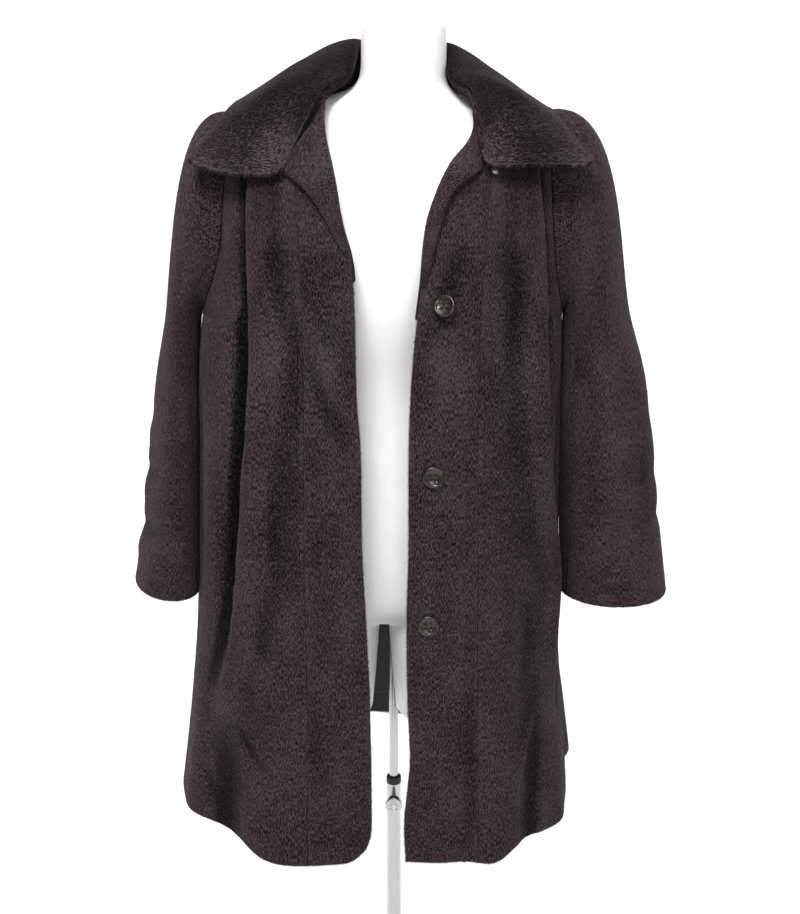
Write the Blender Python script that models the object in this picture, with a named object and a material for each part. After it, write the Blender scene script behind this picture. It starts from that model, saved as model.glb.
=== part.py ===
"""An open wool coat with a wide folded collar, on a limbless torso form and its telescopic stand.

Metres, +Z up. The origin is the centre of the base's underside, on the pole's axis.
-Y is the coat's front, and +X is the right-hand side for a viewer who faces that front.
SIDE is -1 for the wearer's right (viewer's left) and +1 for the wearer's left.
"""
import math

import bmesh
import bpy
from mathutils import Matrix, Vector

MM = 0.001

# ---------------------------------------------------------------- driving dimensions
HEM_Z = 0.500            # height of the hem above the floor
ARCH_Z = 1.250           # above this height the cloth closes over the shoulders
SHOULDER_Y = -0.033      # the shoulder seams' line
SHOULDER_TOP = 1.448     # height that the shoulder line would reach at the middle
SHOULDER_SLOPE = 0.24    # fall of the shoulder line per metre outwards
NECK_X = 0.008           # middle of the neck opening
NECK_HALF = 0.086        # half the neck opening's width
NECK_DEEP = 0.078        # how far it reaches behind the shoulder line
WALL = 0.0026            # the wool cloth
TWO_PLY = 0.0040         # the collar, two layers of it
LINING = 0.0010
GAP = 0.0003             # between pieces at every seam
ROUNDNESS = 2 / 2.4      # exponent of the coat's level sections
FRONT_ARCH = 2 / 1.8     # exponent of the curve over the shoulders, in front
BACK_ARCH = 2 / 2.6      # and behind
ARMHOLE_TURN = math.radians(21)
CUFF_ROWS = 11
ARC = 0.20               # metres of cloth for one radian round the body, on average

BUTTON_R = 0.0125
BUTTON_T = 0.0042
TUBE_R = 0.0098
MAST_R = 0.00635
BASE_R = 0.180
BASE_T = 0.010
RING_Z = 0.496
KNOB_Z = 0.468
MAST_TOP = 0.812
MAST_FOOT = 0.180

RIGHT, LEFT = -1, 1
NAME = {RIGHT: "right", LEFT: "left"}


# ---------------------------------------------------------------- tables
class Table:
    """Rows of numbers in millimetres with named columns, read as a smooth curve of the first."""

    def __init__(self, columns, rows):
        self.columns = columns.split()
        self.rows = sorted([v * MM for v in row] for row in rows)

    def read(self, name, at):
        c = self.columns.index(name)
        keys = [row[0] for row in self.rows]
        vals = [row[c] for row in self.rows]
        if at <= keys[0]:
            return vals[0]
        if at >= keys[-1]:
            return vals[-1]
        i = max(k for k in range(len(keys) - 1) if keys[k] <= at)
        h = keys[i + 1] - keys[i]
        t = (at - keys[i]) / h
        slope = []
        for k in (i, i + 1):
            a, b = max(k - 1, 0), min(k + 1, len(keys) - 1)
            slope.append((vals[b] - vals[a]) / (keys[b] - keys[a]))
        return ((2 * t**3 - 3 * t**2 + 1) * vals[i] + (t**3 - 2 * t**2 + t) * h * slope[0]
                + (3 * t**2 - 2 * t**3) * vals[i + 1] + (t**3 - t**2) * h * slope[1])


# level sections of the coat, from the hem up
BODY = Table("z right left middle front back", [
    (500, 292, 238, 0, 221, 190),
    (600, 277, 230, -7, 210, 176),
    (700, 264, 220, -15, 199, 162),
    (770, 257, 217, -19, 191, 156),
    (850, 253, 215, -24, 183, 150),
    (1000, 246, 212, -33, 169, 140),
    (1100, 240, 209, -37, 160, 136),
    (1170, 232, 207, -39, 152, 133),
    (1250, 215, 204, -40, 142, 128),
])

# the front edges up to the break, then 5 mm outside the lapels' roll: distance from the middle plane
EDGE = {
    RIGHT: Table("z x", [(500, 33), (540, 27), (720, 28), (820, 32), (910, 36), (1030, 37), (1090, 41),
                         (1190, 43), (1244, 47), (1288, 59), (1337, 69), (1369, 77), (1385, 81),
                         (1406, 82), (1430, 80)]),
    LEFT: Table("z x", [(500, 16), (555, 14), (600, 18), (640, 21), (720, 18), (820, 17), (910, 19),
                        (1020, 19), (1090, 21), (1157, 26), (1220, 34), (1257, 37), (1288, 42),
                        (1304, 47), (1321, 54), (1337, 62), (1353, 72), (1369, 86), (1383, 94),
                        (1395, 97), (1430, 95)]),
}

# princess seams: distance from the middle plane
PRINCESS = {
    RIGHT: Table("z x", [(500, 105), (700, 103), (900, 104), (1140, 101), (1230, 104), (1330, 109), (1430, 118)]),
    LEFT: Table("z x", [(500, 104), (900, 101), (1140, 100), (1330, 112), (1430, 126)]),
}


def fold(side, face, path, inner, outer, lean=0.0):
    """A fold: its crest's path as (z, x, rise) rows in mm, the reach of its two flanks, its lean."""
    return dict(side=side, face=face, path=Table("z x rise", path), inner=inner * MM, outer=outer * MM,
                lean=lean * MM)


FRONT, BACK = 1, -1
FOLDS = [
    # the sharp fold beside each sleeve, and the hollow outside it
    fold(RIGHT, FRONT, [(660, 222, 0), (700, 212, 3), (790, 191, 9), (880, 178, 13), (970, 170, 13),
                        (1120, 156, 13), (1250, 156, 12), (1330, 158, 8), (1390, 158, 0)], 34, 9, 4),
    fold(RIGHT, FRONT, [(690, 232, 0), (730, 222, -3), (790, 207, -7), (880, 194, -11), (970, 187, -11),
                        (1120, 173, -11), (1250, 172, -9), (1330, 173, -5), (1390, 173, 0)], 12, 22),
    fold(LEFT, FRONT, [(640, 203, 0), (728, 200, 8), (809, 200, 11), (842, 200, 12), (880, 195, 12),
                       (965, 183, 12), (1066, 175, 12), (1224, 168, 11), (1332, 161, 8), (1390, 160, 0)],
         32, 9, 4),
    fold(LEFT, FRONT, [(640, 208, 0), (728, 207, -6), (842, 206, -9), (965, 196, -10), (1066, 188, -10),
                       (1224, 182, -9), (1332, 176, -5), (1390, 175, 0)], 8, 18),
    # soft waves of the fronts
    fold(RIGHT, FRONT, [(500, 70, 3), (760, 66, 4), (1040, 66, 3), (1230, 76, 0)], 20, 24),
    fold(RIGHT, FRONT, [(500, 150, 7), (640, 148, 6), (800, 140, 3), (960, 132, 0)], 26, 28),
    fold(RIGHT, FRONT, [(500, 216, -8), (600, 212, -5), (680, 210, 0)], 26, 26),
    fold(RIGHT, FRONT, [(500, 262, 8), (600, 252, 6), (720, 244, 0)], 26, 30),
    fold(LEFT, FRONT, [(500, 60, 4), (700, 60, 4), (1000, 60, 3), (1200, 66, 0)], 22, 24),
    fold(LEFT, FRONT, [(500, 128, 7), (640, 130, 5), (820, 132, 2), (960, 132, 0)], 26, 24),
    fold(LEFT, FRONT, [(500, 178, -8), (600, 178, -6), (740, 176, 0)], 20, 18),
    fold(LEFT, FRONT, [(500, 214, 8), (620, 208, 5), (720, 204, 0)], 22, 26),
    # flutes of the back skirt, deepest at the hem
    fold(RIGHT, BACK, [(500, 262, 15), (700, 236, 8), (900, 220, 0)], 30, 26),
    fold(RIGHT, BACK, [(500, 208, -14), (720, 186, -7), (920, 170, 0)], 26, 26),
    fold(RIGHT, BACK, [(500, 142, 17), (720, 128, 10), (960, 112, 4), (1150, 104, 0)], 30, 30),
    fold(RIGHT, BACK, [(500, 72, -13), (720, 64, -7), (960, 58, 0)], 26, 26),
    fold(LEFT, BACK, [(500, 229, 26), (600, 220, 20), (740, 207, 9), (880, 200, 0)], 30, 26),
    fold(LEFT, BACK, [(500, 172, -14), (720, 156, -7), (920, 146, 0)], 24, 26),
    fold(LEFT, BACK, [(500, 116, 17), (720, 104, 10), (960, 96, 4), (1150, 92, 0)], 28, 28),
    fold(LEFT, BACK, [(500, 54, -11), (720, 50, -6), (960, 48, 0)], 24, 24),
]

# sleeves: x is from the middle plane, turn (thousandths of a radian) swings the front end inwards
SLEEVE = {
    RIGHT: Table("z x y thin wide turn", [
        (1150, 263, -33, 22, 66, 40), (1087, 271, -31, 27, 66, 60), (1000, 281.5, -27, 31, 66, 90),
        (920, 290, -23, 34, 67, 130), (860, 297, -21, 36, 68, 190), (797, 303, -15, 43, 71, 260)]),
    LEFT: Table("z x y thin wide turn", [
        (1150, 256, -35, 40, 62, 180), (1087, 264, -35, 47, 60, 240), (1000, 272.5, -33, 53, 59, 300),
        (920, 280, -30, 58, 58, 350), (860, 285.5, -28, 62, 58, 420), (797, 290.5, -25, 69, 60, 470)]),
}

# soft cross creases and long ridges of the sleeves: height, place round the tube, rise, reach up and round
CREASES = {
    RIGHT: [(1010, 60, 4, 14, 60), (958, 30, -4, 10, 70), (930, 45, 4, 12, 60), (880, 20, -5, 12, 80),
            (850, 0, 3, 14, 80), (1090, 100, -4, 22, 50), (1030, -60, -4, 16, 60), (940, -90, 4, 16, 50)],
    LEFT: [(1060, 88, 5, 150, 16), (960, 40, -4, 12, 60), (1000, 70, 3, 14, 50), (1100, 110, -5, 40, 22),
           (905, 20, -4, 12, 60), (1040, -70, -4, 18, 60), (930, -100, 4, 16, 50)],
}

# collar ribs from the middle of the back to the front: where it rolls, its rim, how much it swells
RIBS = {
    RIGHT: [(8, 50, 1476, 8, 124, 1362, 13), (-28, 38, 1479, -84, 108, 1368, 14),
            (-44, 8, 1480, -150, 62, 1394, 19), (-52, -22, 1464, -181, 5, 1416, 20),
            (-61, -48, 1446, -198, -40, 1409, 21), (-71, -64, 1435, -219, -64, 1384, 22)],
    LEFT: [(8, 50, 1476, 8, 124, 1362, 13), (47, 40, 1478, 98, 108, 1366, 14),
           (67, 12, 1478, 160, 60, 1390, 19), (75, -18, 1463, 184, 5, 1410, 20),
           (79, -46, 1446, 193, -40, 1405, 21), (87, -63, 1434, 202, -62, 1388, 22)],
}
# the collar's front end: down the gorge seam, then out along the lower edge to the point
FRONT_END = {
    RIGHT: [(-77, -78, 1428), (-91, -133, 1381), (-115, -154, 1340), (-172, -137, 1334), (-230, -108, 1341)],
    LEFT: [(91, -78, 1426), (96, -136, 1381), (104, -157, 1348), (166, -140, 1343), (230, -106, 1337)],
}

# lapels: the height where each rib starts at the front's edge, and its free end (x, z) on the front
LAPEL = {
    RIGHT: [(1394, 83, 1393), (1383, 85, 1382), (1369, 90, 1367), (1353, 98, 1350), (1337, 108, 1331),
            (1321, 94, 1317), (1304, 82, 1302), (1288, 73, 1285), (1271, 65, 1268), (1256, 55, 1253)],
    LEFT: [(1374, 97, 1373), (1364, 97, 1363), (1353, 97, 1351), (1337, 88, 1334),
           (1321, 70, 1321), (1304, 59, 1304), (1288, 54, 1286), (1266, 50, 1265), (1245, 46, 1244),
           (1222, 40, 1220)],
}

BUTTONS = [(58, 1194), (47, 998), (42, 816)]      # x, z
STUD = (114, 1334)

FORM = Table("z x half front back", [
    (772, -5, 150, -118, 38), (800, -5, 166, -131, 52), (850, -4, 170, -135, 60), (900, -3, 168, -134, 60),
    (960, -2, 150, -130, 45), (1040, 0, 130, -122, 18), (1100, 2, 136, -127, 20), (1180, 4, 152, -150, 30),
    (1240, 6, 164, -158, 36), (1290, 6, 168, -146, 40), (1330, 5, 170, -126, 38), (1360, 3, 169, -104, 32),
    (1385, 1, 166, -82, 24), (1403, 0, 158, -70, 18), (1417, 0.5, 104, -64, 12), (1424, 6, 70, -62, 18), (1436, 11, 54, -65, 30),
    (1455, 13, 51.5, -65, 34), (1505, 13, 51, -64, 35),
])
THIGH = Table("z half deep", [(630, 68, 66), (700, 74, 70), (760, 78, 72), (810, 76, 70)])
THIGH_MIDDLE = -0.012
THIGH_OUT = 0.084
THIGH_Y = -0.060


# ---------------------------------------------------------------- scene helpers
def clear_scene():
    for obj in list(bpy.data.objects):
        bpy.data.objects.remove(obj, do_unlink=True)


def material(name, colour, roughness, metallic=0.0):
    mat = bpy.data.materials.get(name) or bpy.data.materials.new(name)
    mat.use_nodes = True
    bsdf = mat.node_tree.nodes["Principled BSDF"]
    bsdf.inputs["Base Color"].default_value = (*colour, 1)
    bsdf.inputs["Roughness"].default_value = roughness
    bsdf.inputs["Metallic"].default_value = metallic
    mat.diffuse_color = (*colour, 1)
    return mat


WOOL = ("wool", (0.030, 0.027, 0.028), 0.95)
WOOL_TURNED = ("wool_turned", (0.033, 0.030, 0.030), 0.95)
SATIN = ("satin", (0.010, 0.010, 0.012), 0.35)
HORN = ("horn", (0.060, 0.045, 0.035), 0.25)
SHELL = ("form_shell", (0.82, 0.82, 0.80), 0.35)
CHROME = ("chrome", (0.75, 0.76, 0.78), 0.12, 1.0)
RUBBER = ("rubber", (0.015, 0.015, 0.015), 0.6)
STEEL = ("steel", (0.55, 0.56, 0.58), 0.3, 1.0)


def finish(name, bm, mat, smooth_angle=40):
    """Make one named object of a closed mesh, with its faces turned outwards."""
    bmesh.ops.recalc_face_normals(bm, faces=bm.faces)
    if bm.calc_volume(signed=True) < 0:
        bmesh.ops.reverse_faces(bm, faces=bm.faces)
    mesh = bpy.data.meshes.new(name)
    bm.to_mesh(mesh)
    bm.free()
    mesh.shade_smooth()
    mesh.set_sharp_from_angle(angle=math.radians(smooth_angle))
    obj = bpy.data.objects.new(name, mesh)
    obj.data.materials.append(material(*mat))
    bpy.context.collection.objects.link(obj)
    return obj


def sheet(name, grid, mat, closed=False):
    """A wall between the outer and inner points of a grid: grid[row][column] = (outer, inner)."""
    bm = bmesh.new()
    layers = [[[bm.verts.new(p[k]) for p in row] for row in grid] for k in (0, 1)]
    rows, cols = len(grid), len(grid[0])
    span = cols if closed else cols - 1
    for r in range(rows - 1):
        for c in range(span):
            d = (c + 1) % cols
            for v, order in zip(layers, (1, -1)):
                bm.faces.new([v[r][c], v[r][d], v[r + 1][d]][::order])
                bm.faces.new([v[r][c], v[r + 1][d], v[r + 1][c]][::order])
    for c in range(span):
        d = (c + 1) % cols
        for r in (0, rows - 1):
            bm.faces.new([layers[0][r][c], layers[0][r][d], layers[1][r][d], layers[1][r][c]])
    if not closed:
        for r in range(rows - 1):
            for c in (0, cols - 1):
                bm.faces.new([layers[0][r][c], layers[0][r + 1][c], layers[1][r + 1][c], layers[1][r][c]])
    return finish(name, bm, mat)


def loft(bm, rings):
    """A closed solid through rings of points, with flat ends."""
    loops = [[bm.verts.new(p) for p in ring] for ring in rings]
    n = len(loops[0])
    for a, b in zip(loops, loops[1:]):
        for i in range(n):
            bm.faces.new([a[i], a[(i + 1) % n], b[(i + 1) % n], b[i]])
    bm.faces.new(loops[0][::-1])
    bm.faces.new(loops[-1])


def turned(name, profile, mat, steps=40, place=Matrix()):
    """A solid of revolution about Z from (radius, height) points listed round its section."""
    bm = bmesh.new()
    verts = [bm.verts.new((max(r, 0), 0, z)) for r, z in profile]
    edges = [bm.edges.new((a, b)) for a, b in zip(verts, verts[1:])]
    if profile[0][0] > 0:
        edges.append(bm.edges.new((verts[-1], verts[0])))
    bmesh.ops.spin(bm, geom=verts + edges, cent=(0, 0, 0), axis=(0, 0, 1), angle=2 * math.pi,
                   steps=steps, use_merge=True)
    bmesh.ops.remove_doubles(bm, verts=bm.verts, dist=1e-6)
    bmesh.ops.transform(bm, matrix=place, verts=bm.verts)
    return finish(name, bm, mat, 30)


# ---------------------------------------------------------------- the body's surface
def shoulder_z(x):
    return SHOULDER_TOP - SHOULDER_SLOPE * max(abs(x), 0.07)


def split_row(r):
    """A row is 0 at the hem, 1 where the arch begins and 2 on the shoulder line: (height, arch angle)."""
    return HEM_Z + min(r, 1) * (ARCH_Z - HEM_Z), max(r - 1, 0) * math.pi / 2


def row_at(z):
    return (z - HEM_Z) / (ARCH_Z - HEM_Z)


def half_width(side, r):
    z, arch = split_row(r)
    return BODY.read(NAME[side], z) * (1 - 0.05 * math.sin(arch))


def blend_back(turn):
    """0 on the front, 1 on the back, with an even change across the armhole."""
    t = min(max((turn - math.pi / 2) / (2 * ARMHOLE_TURN) + 0.5, 0), 1)
    return t * t * (3 - 2 * t)


def base_point(side, turn, r):
    """The plain surface: turn is 0 at the middle front and pi at the middle back."""
    z, arch = split_row(r)
    s, c = math.sin(turn), math.cos(turn)
    x = half_width(side, r) * abs(s) ** ROUNDNESS
    depth = -BODY.read("front", z) if c > 0 else BODY.read("back", z)
    y = BODY.read("middle", z) + depth * abs(c) ** ROUNDNESS
    if arch > 0:
        bend = FRONT_ARCH + (BACK_ARCH - FRONT_ARCH) * blend_back(turn)
        y = SHOULDER_Y + (y - SHOULDER_Y) * max(math.cos(arch), 0) ** bend
        z = ARCH_Z + (shoulder_z(x) - ARCH_Z) * math.sin(arch) ** bend
    return Vector((side * x * (1 if s >= 0 else -1), y, z))


def turn_of_x(side, x, r, face=FRONT):
    ratio = min(max(x, 0.0) / half_width(side, r), 1.0)
    turn = math.asin(min(ratio ** (1 / ROUNDNESS), 1.0))
    return turn if face == FRONT else math.pi - turn


def body_point(side, turn, r):
    """The surface with its folds laid on."""
    p = base_point(side, turn, r)
    rise = slide = 0.0
    for f in FOLDS:
        if f["side"] != side:
            continue
        height = f["path"].read("rise", p.z)
        if not f["path"].rows[0][0] < p.z < f["path"].rows[-1][0] and p.z > HEM_Z + 0.001:
            continue
        crest = turn_of_x(side, f["path"].read("x", p.z), r, f["face"])
        away = (turn - crest) * ARC
        reach = f["outer"] if away * f["face"] > 0 else f["inner"]
        bell = math.exp(-(away / reach) ** 2)
        rise += height * bell
        if height and f["lean"]:
            slide += f["lean"] * bell * min(abs(height) / 0.012, 1) * f["face"]
    if abs(rise) < 1e-6 and abs(slide) < 1e-6:
        return p
    e = 1e-3
    along = base_point(side, turn + e, r) - base_point(side, turn - e, r)
    up = base_point(side, turn, min(r + e, 1.99)) - base_point(side, turn, min(r, 1.99) - e)
    out = along.cross(up) * side
    return p + out.normalized() * rise + along.normalized() * slide


def outward(point, u, v, flip):
    """The unit normal of point(u, v), turned by flip."""
    e = 2e-3
    a = point(u + e, v) - point(u - e, v)
    b = point(u, v + e) - point(u, v - e)
    return a.cross(b).normalized() * flip


def body_normal(side, turn, r):
    n = outward(lambda t, k: body_point(side, t, k), turn, min(r, 1.93), side)
    if r > 1.999:
        n.y = 0                       # front and back share the shoulder seam's direction
    return n.normalized()


def spot(side, x, z):
    """The turn and row of the front surface at a distance x from the middle plane and a height z."""
    if z <= ARCH_Z:
        r = row_at(z)
    else:
        s = min((z - ARCH_Z) / (shoulder_z(x) - ARCH_Z), 1.0)
        r = 1 + math.asin(s ** (1 / FRONT_ARCH)) * 2 / math.pi
    return turn_of_x(side, x, r), r


# ---------------------------------------------------------------- panels
LOW_ROWS = [row_at(z) for z in
            (0.500, 0.545, 0.605, 0.665, 0.730, 0.795, 0.860, 0.930, 1.000, 1.070, 1.130)]
ARM_ROWS = ([row_at(z) for z in (1.170, 1.184, 1.204, 1.228)] + [1.0]
            + [1 + k / 6 for k in range(1, 7)])
ROWS = LOW_ROWS + ARM_ROWS


def armhole_turn(r):
    """How far the armhole has opened from the side line at a row."""
    start, full = ARM_ROWS[0], row_at(1.262)
    q = min(max((r - start) / (full - start), 0), 1)
    return ARMHOLE_TURN * (1 - (1 - q) ** 2.2) ** (1 / 2.2)


def edge_turn(table, side, r):
    z = base_point(side, 0.3, r).z
    for _ in range(4):
        turn = turn_of_x(side, table.read("x", z), r)
        z = base_point(side, turn, r).z
    return turn


def crest_turns(side, r):
    """Turns of the sharp fold's crest and of the hollow outside it, at a row."""
    folds = [f for f in FOLDS if f["side"] == side and f["face"] == FRONT][:2]
    z = base_point(side, 0.9, r).z
    return [turn_of_x(side, f["path"].read("x", z), r) for f in folds]


def neck_row(side, turn, r):
    """Rows of the back stop at the neckline, which curves behind the neck."""
    if r <= 1:
        return r
    x = base_point(side, turn, 1).x - NECK_X
    if abs(x) >= NECK_HALF:
        return r
    deep = NECK_DEEP * math.sqrt(1 - (x / NECK_HALF) ** 2)
    full = base_point(side, turn, 1).y - SHOULDER_Y
    top = math.acos(min(deep / full, 1) ** (1 / BACK_ARCH)) * 2 / math.pi
    return 1 + (r - 1) * top


def spread(stops, counts):
    """Values between stops, with the given number of steps in each span."""
    values = [stops[0]]
    for a, b, n in zip(stops, stops[1:], counts):
        values += [a + (b - a) * k / n for k in range(1, n + 1)]
    return values


def wall_grid(rows, point, normal, wall, offset=0.0):
    """Outer and inner points for a panel, drawn in by half a seam gap at its four edges."""
    grid = []
    for cells in rows:
        grid.append([(point(*c) + normal(*c) * offset, normal(*c)) for c in cells])
    half = GAP / 2 + 0.00002

    def toward(a, b):
        step = b - a
        return step.normalized() * min(half, step.length * 0.4) if step.length > 1e-9 else Vector()

    moved = [[p for p, _ in row] for row in grid]
    for row in moved:
        first, last = toward(row[0], row[1]), toward(row[-1], row[-2])
        row[0], row[-1] = row[0] + first, row[-1] + last
    for c in range(len(moved[0])):
        first = toward(moved[0][c], moved[1][c])
        last = toward(moved[-1][c], moved[-2][c])
        moved[0][c], moved[-1][c] = moved[0][c] + first, moved[-1][c] + last
    return [[(p, p - n * wall) for p, (_, n) in zip(points, row)] for points, row in zip(moved, grid)]


BACK_STEPS = 12
LINING_END = math.pi - 0.004     # the lining's halves stop a little short of the middle


def make_panels(side):
    front, middle, back = [], [], []
    for r in ROWS:
        opened = armhole_turn(r) if r >= ARM_ROWS[0] else 0
        edge = edge_turn(EDGE[side], side, r)
        princess = max(edge_turn(PRINCESS[side], side, r), edge + 0.03)
        crest, hollow = crest_turns(side, r)
        end = math.pi / 2 - opened
        crest = min(crest, end - 0.08)
        hollow = min(hollow, end - 0.04)
        front.append([(side, t, r) for t in spread([edge, princess], [4])])
        middle.append([(side, t, r) for t in spread([princess, crest, hollow, end], [3, 2, 3])])
        start = math.pi / 2 + opened
        back.append([(side, t, neck_row(side, t, r)) for t in spread([start, math.pi], [BACK_STEPS])])
    for label, cells in (("front", front), ("side_front", middle), ("back", back)):
        grid = wall_grid(cells, body_point, body_normal, WALL)
        sheet(f"{label}_{NAME[side]}", grid, WOOL)


# ---------------------------------------------------------------- sleeves
RING = len(ARM_ROWS) - 1


def wrap(k):
    """Ring places past the shoulder come back down the back of the armhole."""
    return k - 2 * RING if k > RING else k


def tube_point(side, round_turn, z):
    """A point of the sleeve's tube: round_turn is 0 outside, a quarter turn at the front, half inside."""
    t = SLEEVE[side]
    thin, wide = t.read("thin", z), t.read("wide", z)
    out, ahead = thin * math.cos(round_turn), wide * math.sin(round_turn)
    swing = t.read("turn", z)
    x = t.read("x", z) + out * math.cos(swing) - ahead * math.sin(swing)
    y = t.read("y", z) - out * math.sin(swing) - ahead * math.cos(swing)
    p = Vector((side * x, y, z))
    lift = 0.0
    for height, place, rise, tall, broad in CREASES[side]:
        gap = (math.degrees(round_turn) - place + 180) % 360 - 180
        lift += rise * MM * math.exp(-((z - height * MM) / (tall * MM)) ** 2 - (gap / broad) ** 2)
    middle = Vector((side * t.read("x", z), t.read("y", z), z))
    return p + (p - middle).normalized() * lift


def armhole_point(side, k):
    """Points round the armhole: k is 0 at the armpit, RING on the shoulder, negative up the back."""
    k = wrap(k)
    r = ARM_ROWS[abs(k)]
    opened = armhole_turn(r)
    turn = math.pi / 2 - opened if k >= 0 else math.pi / 2 + opened
    return body_point(side, turn, r)


SLEEVE_TOP = 1.150
CAP_STEPS = 5
SLEEVE_ROWS = [SLEEVE_TOP - (SLEEVE_TOP - 0.797) * k / (CUFF_ROWS - 1) for k in range(CUFF_ROWS)]


def sleeve_point(side, k, v):
    """v is 0 at the armhole, 1 where the tube hangs free, then one more for each further row."""
    round_turn = math.pi * (1 - k / RING)
    if v >= 1:
        row = v - 1
        z = SLEEVE_TOP - (SLEEVE_TOP - 0.797) * row / (CUFF_ROWS - 1)
        return tube_point(side, round_turn, z)
    low, high = math.floor(k), math.ceil(k)
    a = armhole_point(side, int(low)) * (1 - (k - low)) + armhole_point(side, int(high)) * (k - low)
    b = tube_point(side, round_turn, SLEEVE_TOP)
    reach = (b - a).length
    top = abs(k) / RING
    start = Vector((side, 0, -0.10 * top)).normalized() * reach * (0.55 + 0.35 * top)
    end = (tube_point(side, round_turn, SLEEVE_TOP - 0.01) - b).normalized() * reach * (0.9 - 0.1 * top)
    t = v
    return (a * (2 * t**3 - 3 * t**2 + 1) + start * (t**3 - 2 * t**2 + t)
            + b * (3 * t**2 - 2 * t**3) + end * (t**3 - t**2))


def sleeve_normal(side, k, v):
    e = 0.02
    a = sleeve_point(side, k + e, v) - sleeve_point(side, k - e, v)
    up = max(v - e, 0)
    b = sleeve_point(side, k, v + e) - sleeve_point(side, k, up)
    return a.cross(b).normalized() * -side


def make_sleeve(side):
    steps = [k / CAP_STEPS for k in range(CAP_STEPS + 1)] + [2 + k for k in range(CUFF_ROWS - 1)]
    seam = 3
    upper = list(range(seam, 2 * RING - seam + 1))
    under = list(range(-seam, seam + 1))
    for label, places in (("upper_sleeve", upper), ("under_sleeve", under)):
        cells = [[(side, k, v) for k in places] for v in steps]
        grid = wall_grid(cells, sleeve_point, sleeve_normal, WALL)
        sheet(f"{label}_{NAME[side]}", grid, WOOL)


# ---------------------------------------------------------------- collar and lapels
def blend(p0, p1, p2, p3, u):
    """From p1 to p2 along a smooth curve that doesn't loop where the knots lie unevenly."""
    d0, d1, d2 = (max((b - a).length, 1e-5) ** 0.5 for a, b in ((p0, p1), (p1, p2), (p2, p3)))
    m1 = ((p1 - p0) / d0 - (p2 - p0) / (d0 + d1) + (p2 - p1) / d1) * d1
    m2 = ((p2 - p1) / d1 - (p3 - p1) / (d1 + d2) + (p3 - p2) / d2) * d1
    return (p1 * (2 * u**3 - 3 * u**2 + 1) + m1 * (u**3 - 2 * u**2 + u)
            + p2 * (3 * u**2 - 2 * u**3) + m2 * (u**3 - u**2))


def curve(knots, t):
    """A smooth curve through knots, each span a like share of t from 0 to 1."""
    n = len(knots) - 1
    i = min(int(t * n), n - 1)
    before = knots[i - 1] if i else knots[0] * 2 - knots[1]
    after = knots[i + 2] if i + 2 <= n else knots[n] * 2 - knots[n - 1]
    return blend(before, knots[i], knots[i + 1], after, t * n - i)


def neckline(x):
    """The coat's back neckline at a distance across."""
    side = LEFT if x >= 0 else RIGHT
    turn = turn_of_x(side, abs(x), 1, BACK)
    return body_point(side, turn, neck_row(side, turn, 2))


COLLAR_AXIS = Vector((NECK_X, -0.018, 0))
SEAM_TURN = (0, 36, 62, 82)    # degrees round the neck where the first ribs are sewn on
SEAM_LIFT = 0.0019             # the stand's lower edge above the neckline's points


def rib_knots(side):
    """Six knots for each rib: neck seam, roll, three on the fall, rim."""
    ribs = []
    for i, (rx, ry, rz, ex, ey, ez, swell) in enumerate(RIBS[side]):
        roll, rim = Vector((rx, ry, rz)) * MM, Vector((ex, ey, ez)) * MM
        out = Vector((roll.x - COLLAR_AXIS.x, roll.y - COLLAR_AXIS.y, 0)).normalized()
        push = (Vector((0, 0, 1)) + out * 0.5).normalized() * swell * MM
        if i < len(SEAM_TURN):
            across = NECK_X + side * NECK_HALF * math.sin(math.radians(SEAM_TURN[i]))
            seam = neckline(across) + Vector((0, 0, SEAM_LIFT)) + out * 0.0005
        else:
            seam = roll - out * 0.004 - Vector((0, 0, 0.010))
        fall = [roll.lerp(rim, t) + push * lift for t, lift in ((0.18, 0.85), (0.45, 1.0), (0.74, 0.62))]
        ribs.append([seam, roll] + fall + [rim])
    end = [Vector(p) * MM for p in FRONT_END[side]]
    ribs.append([end[0] + Vector((-side * 0.003, 0.005, -0.012))] + end)
    return ribs


def collar_point(s, t):
    """s runs from -1, the wearer's right front end, to +1; t from the neck seam to the rim."""
    side = LEFT if s >= 0 else RIGHT
    ribs = KNOTS[side]
    mirror = KNOTS[-side]
    n = len(ribs) - 1
    u = min(abs(s), 1) * n
    i = min(int(u), n - 1)
    knots = []
    for k in range(len(ribs[0])):
        p1, p2 = ribs[i][k], ribs[i + 1][k]
        p0 = ribs[i - 1][k] if i else mirror[1][k]
        p3 = ribs[i + 2][k] if i + 2 <= n else p2 * 2 - p1
        knots.append(blend(p0, p1, p2, p3, u - i))
    return curve(knots, min(max(t, 0), 1))


def collar_normal(s, t):
    e = 4e-3
    a = collar_point(min(s + e, 1), t) - collar_point(max(s - e, -1), t)
    b = collar_point(s, min(t + e, 1)) - collar_point(s, max(t - e, 0))
    return a.cross(b).normalized() * -1


def make_collar():
    columns = [-1 + k / 16 for k in range(33)]
    steps = [0, 0.11, 0.19, 0.25, 0.33, 0.46, 0.62, 0.80, 1.0]
    grid = []
    for t in steps:
        row = []
        for s in columns:
            p, n = collar_point(s, t), collar_normal(s, t)
            row.append((p, p - n * TWO_PLY))
        grid.append(row)
    sheet("collar", grid, WOOL_TURNED)


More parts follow.
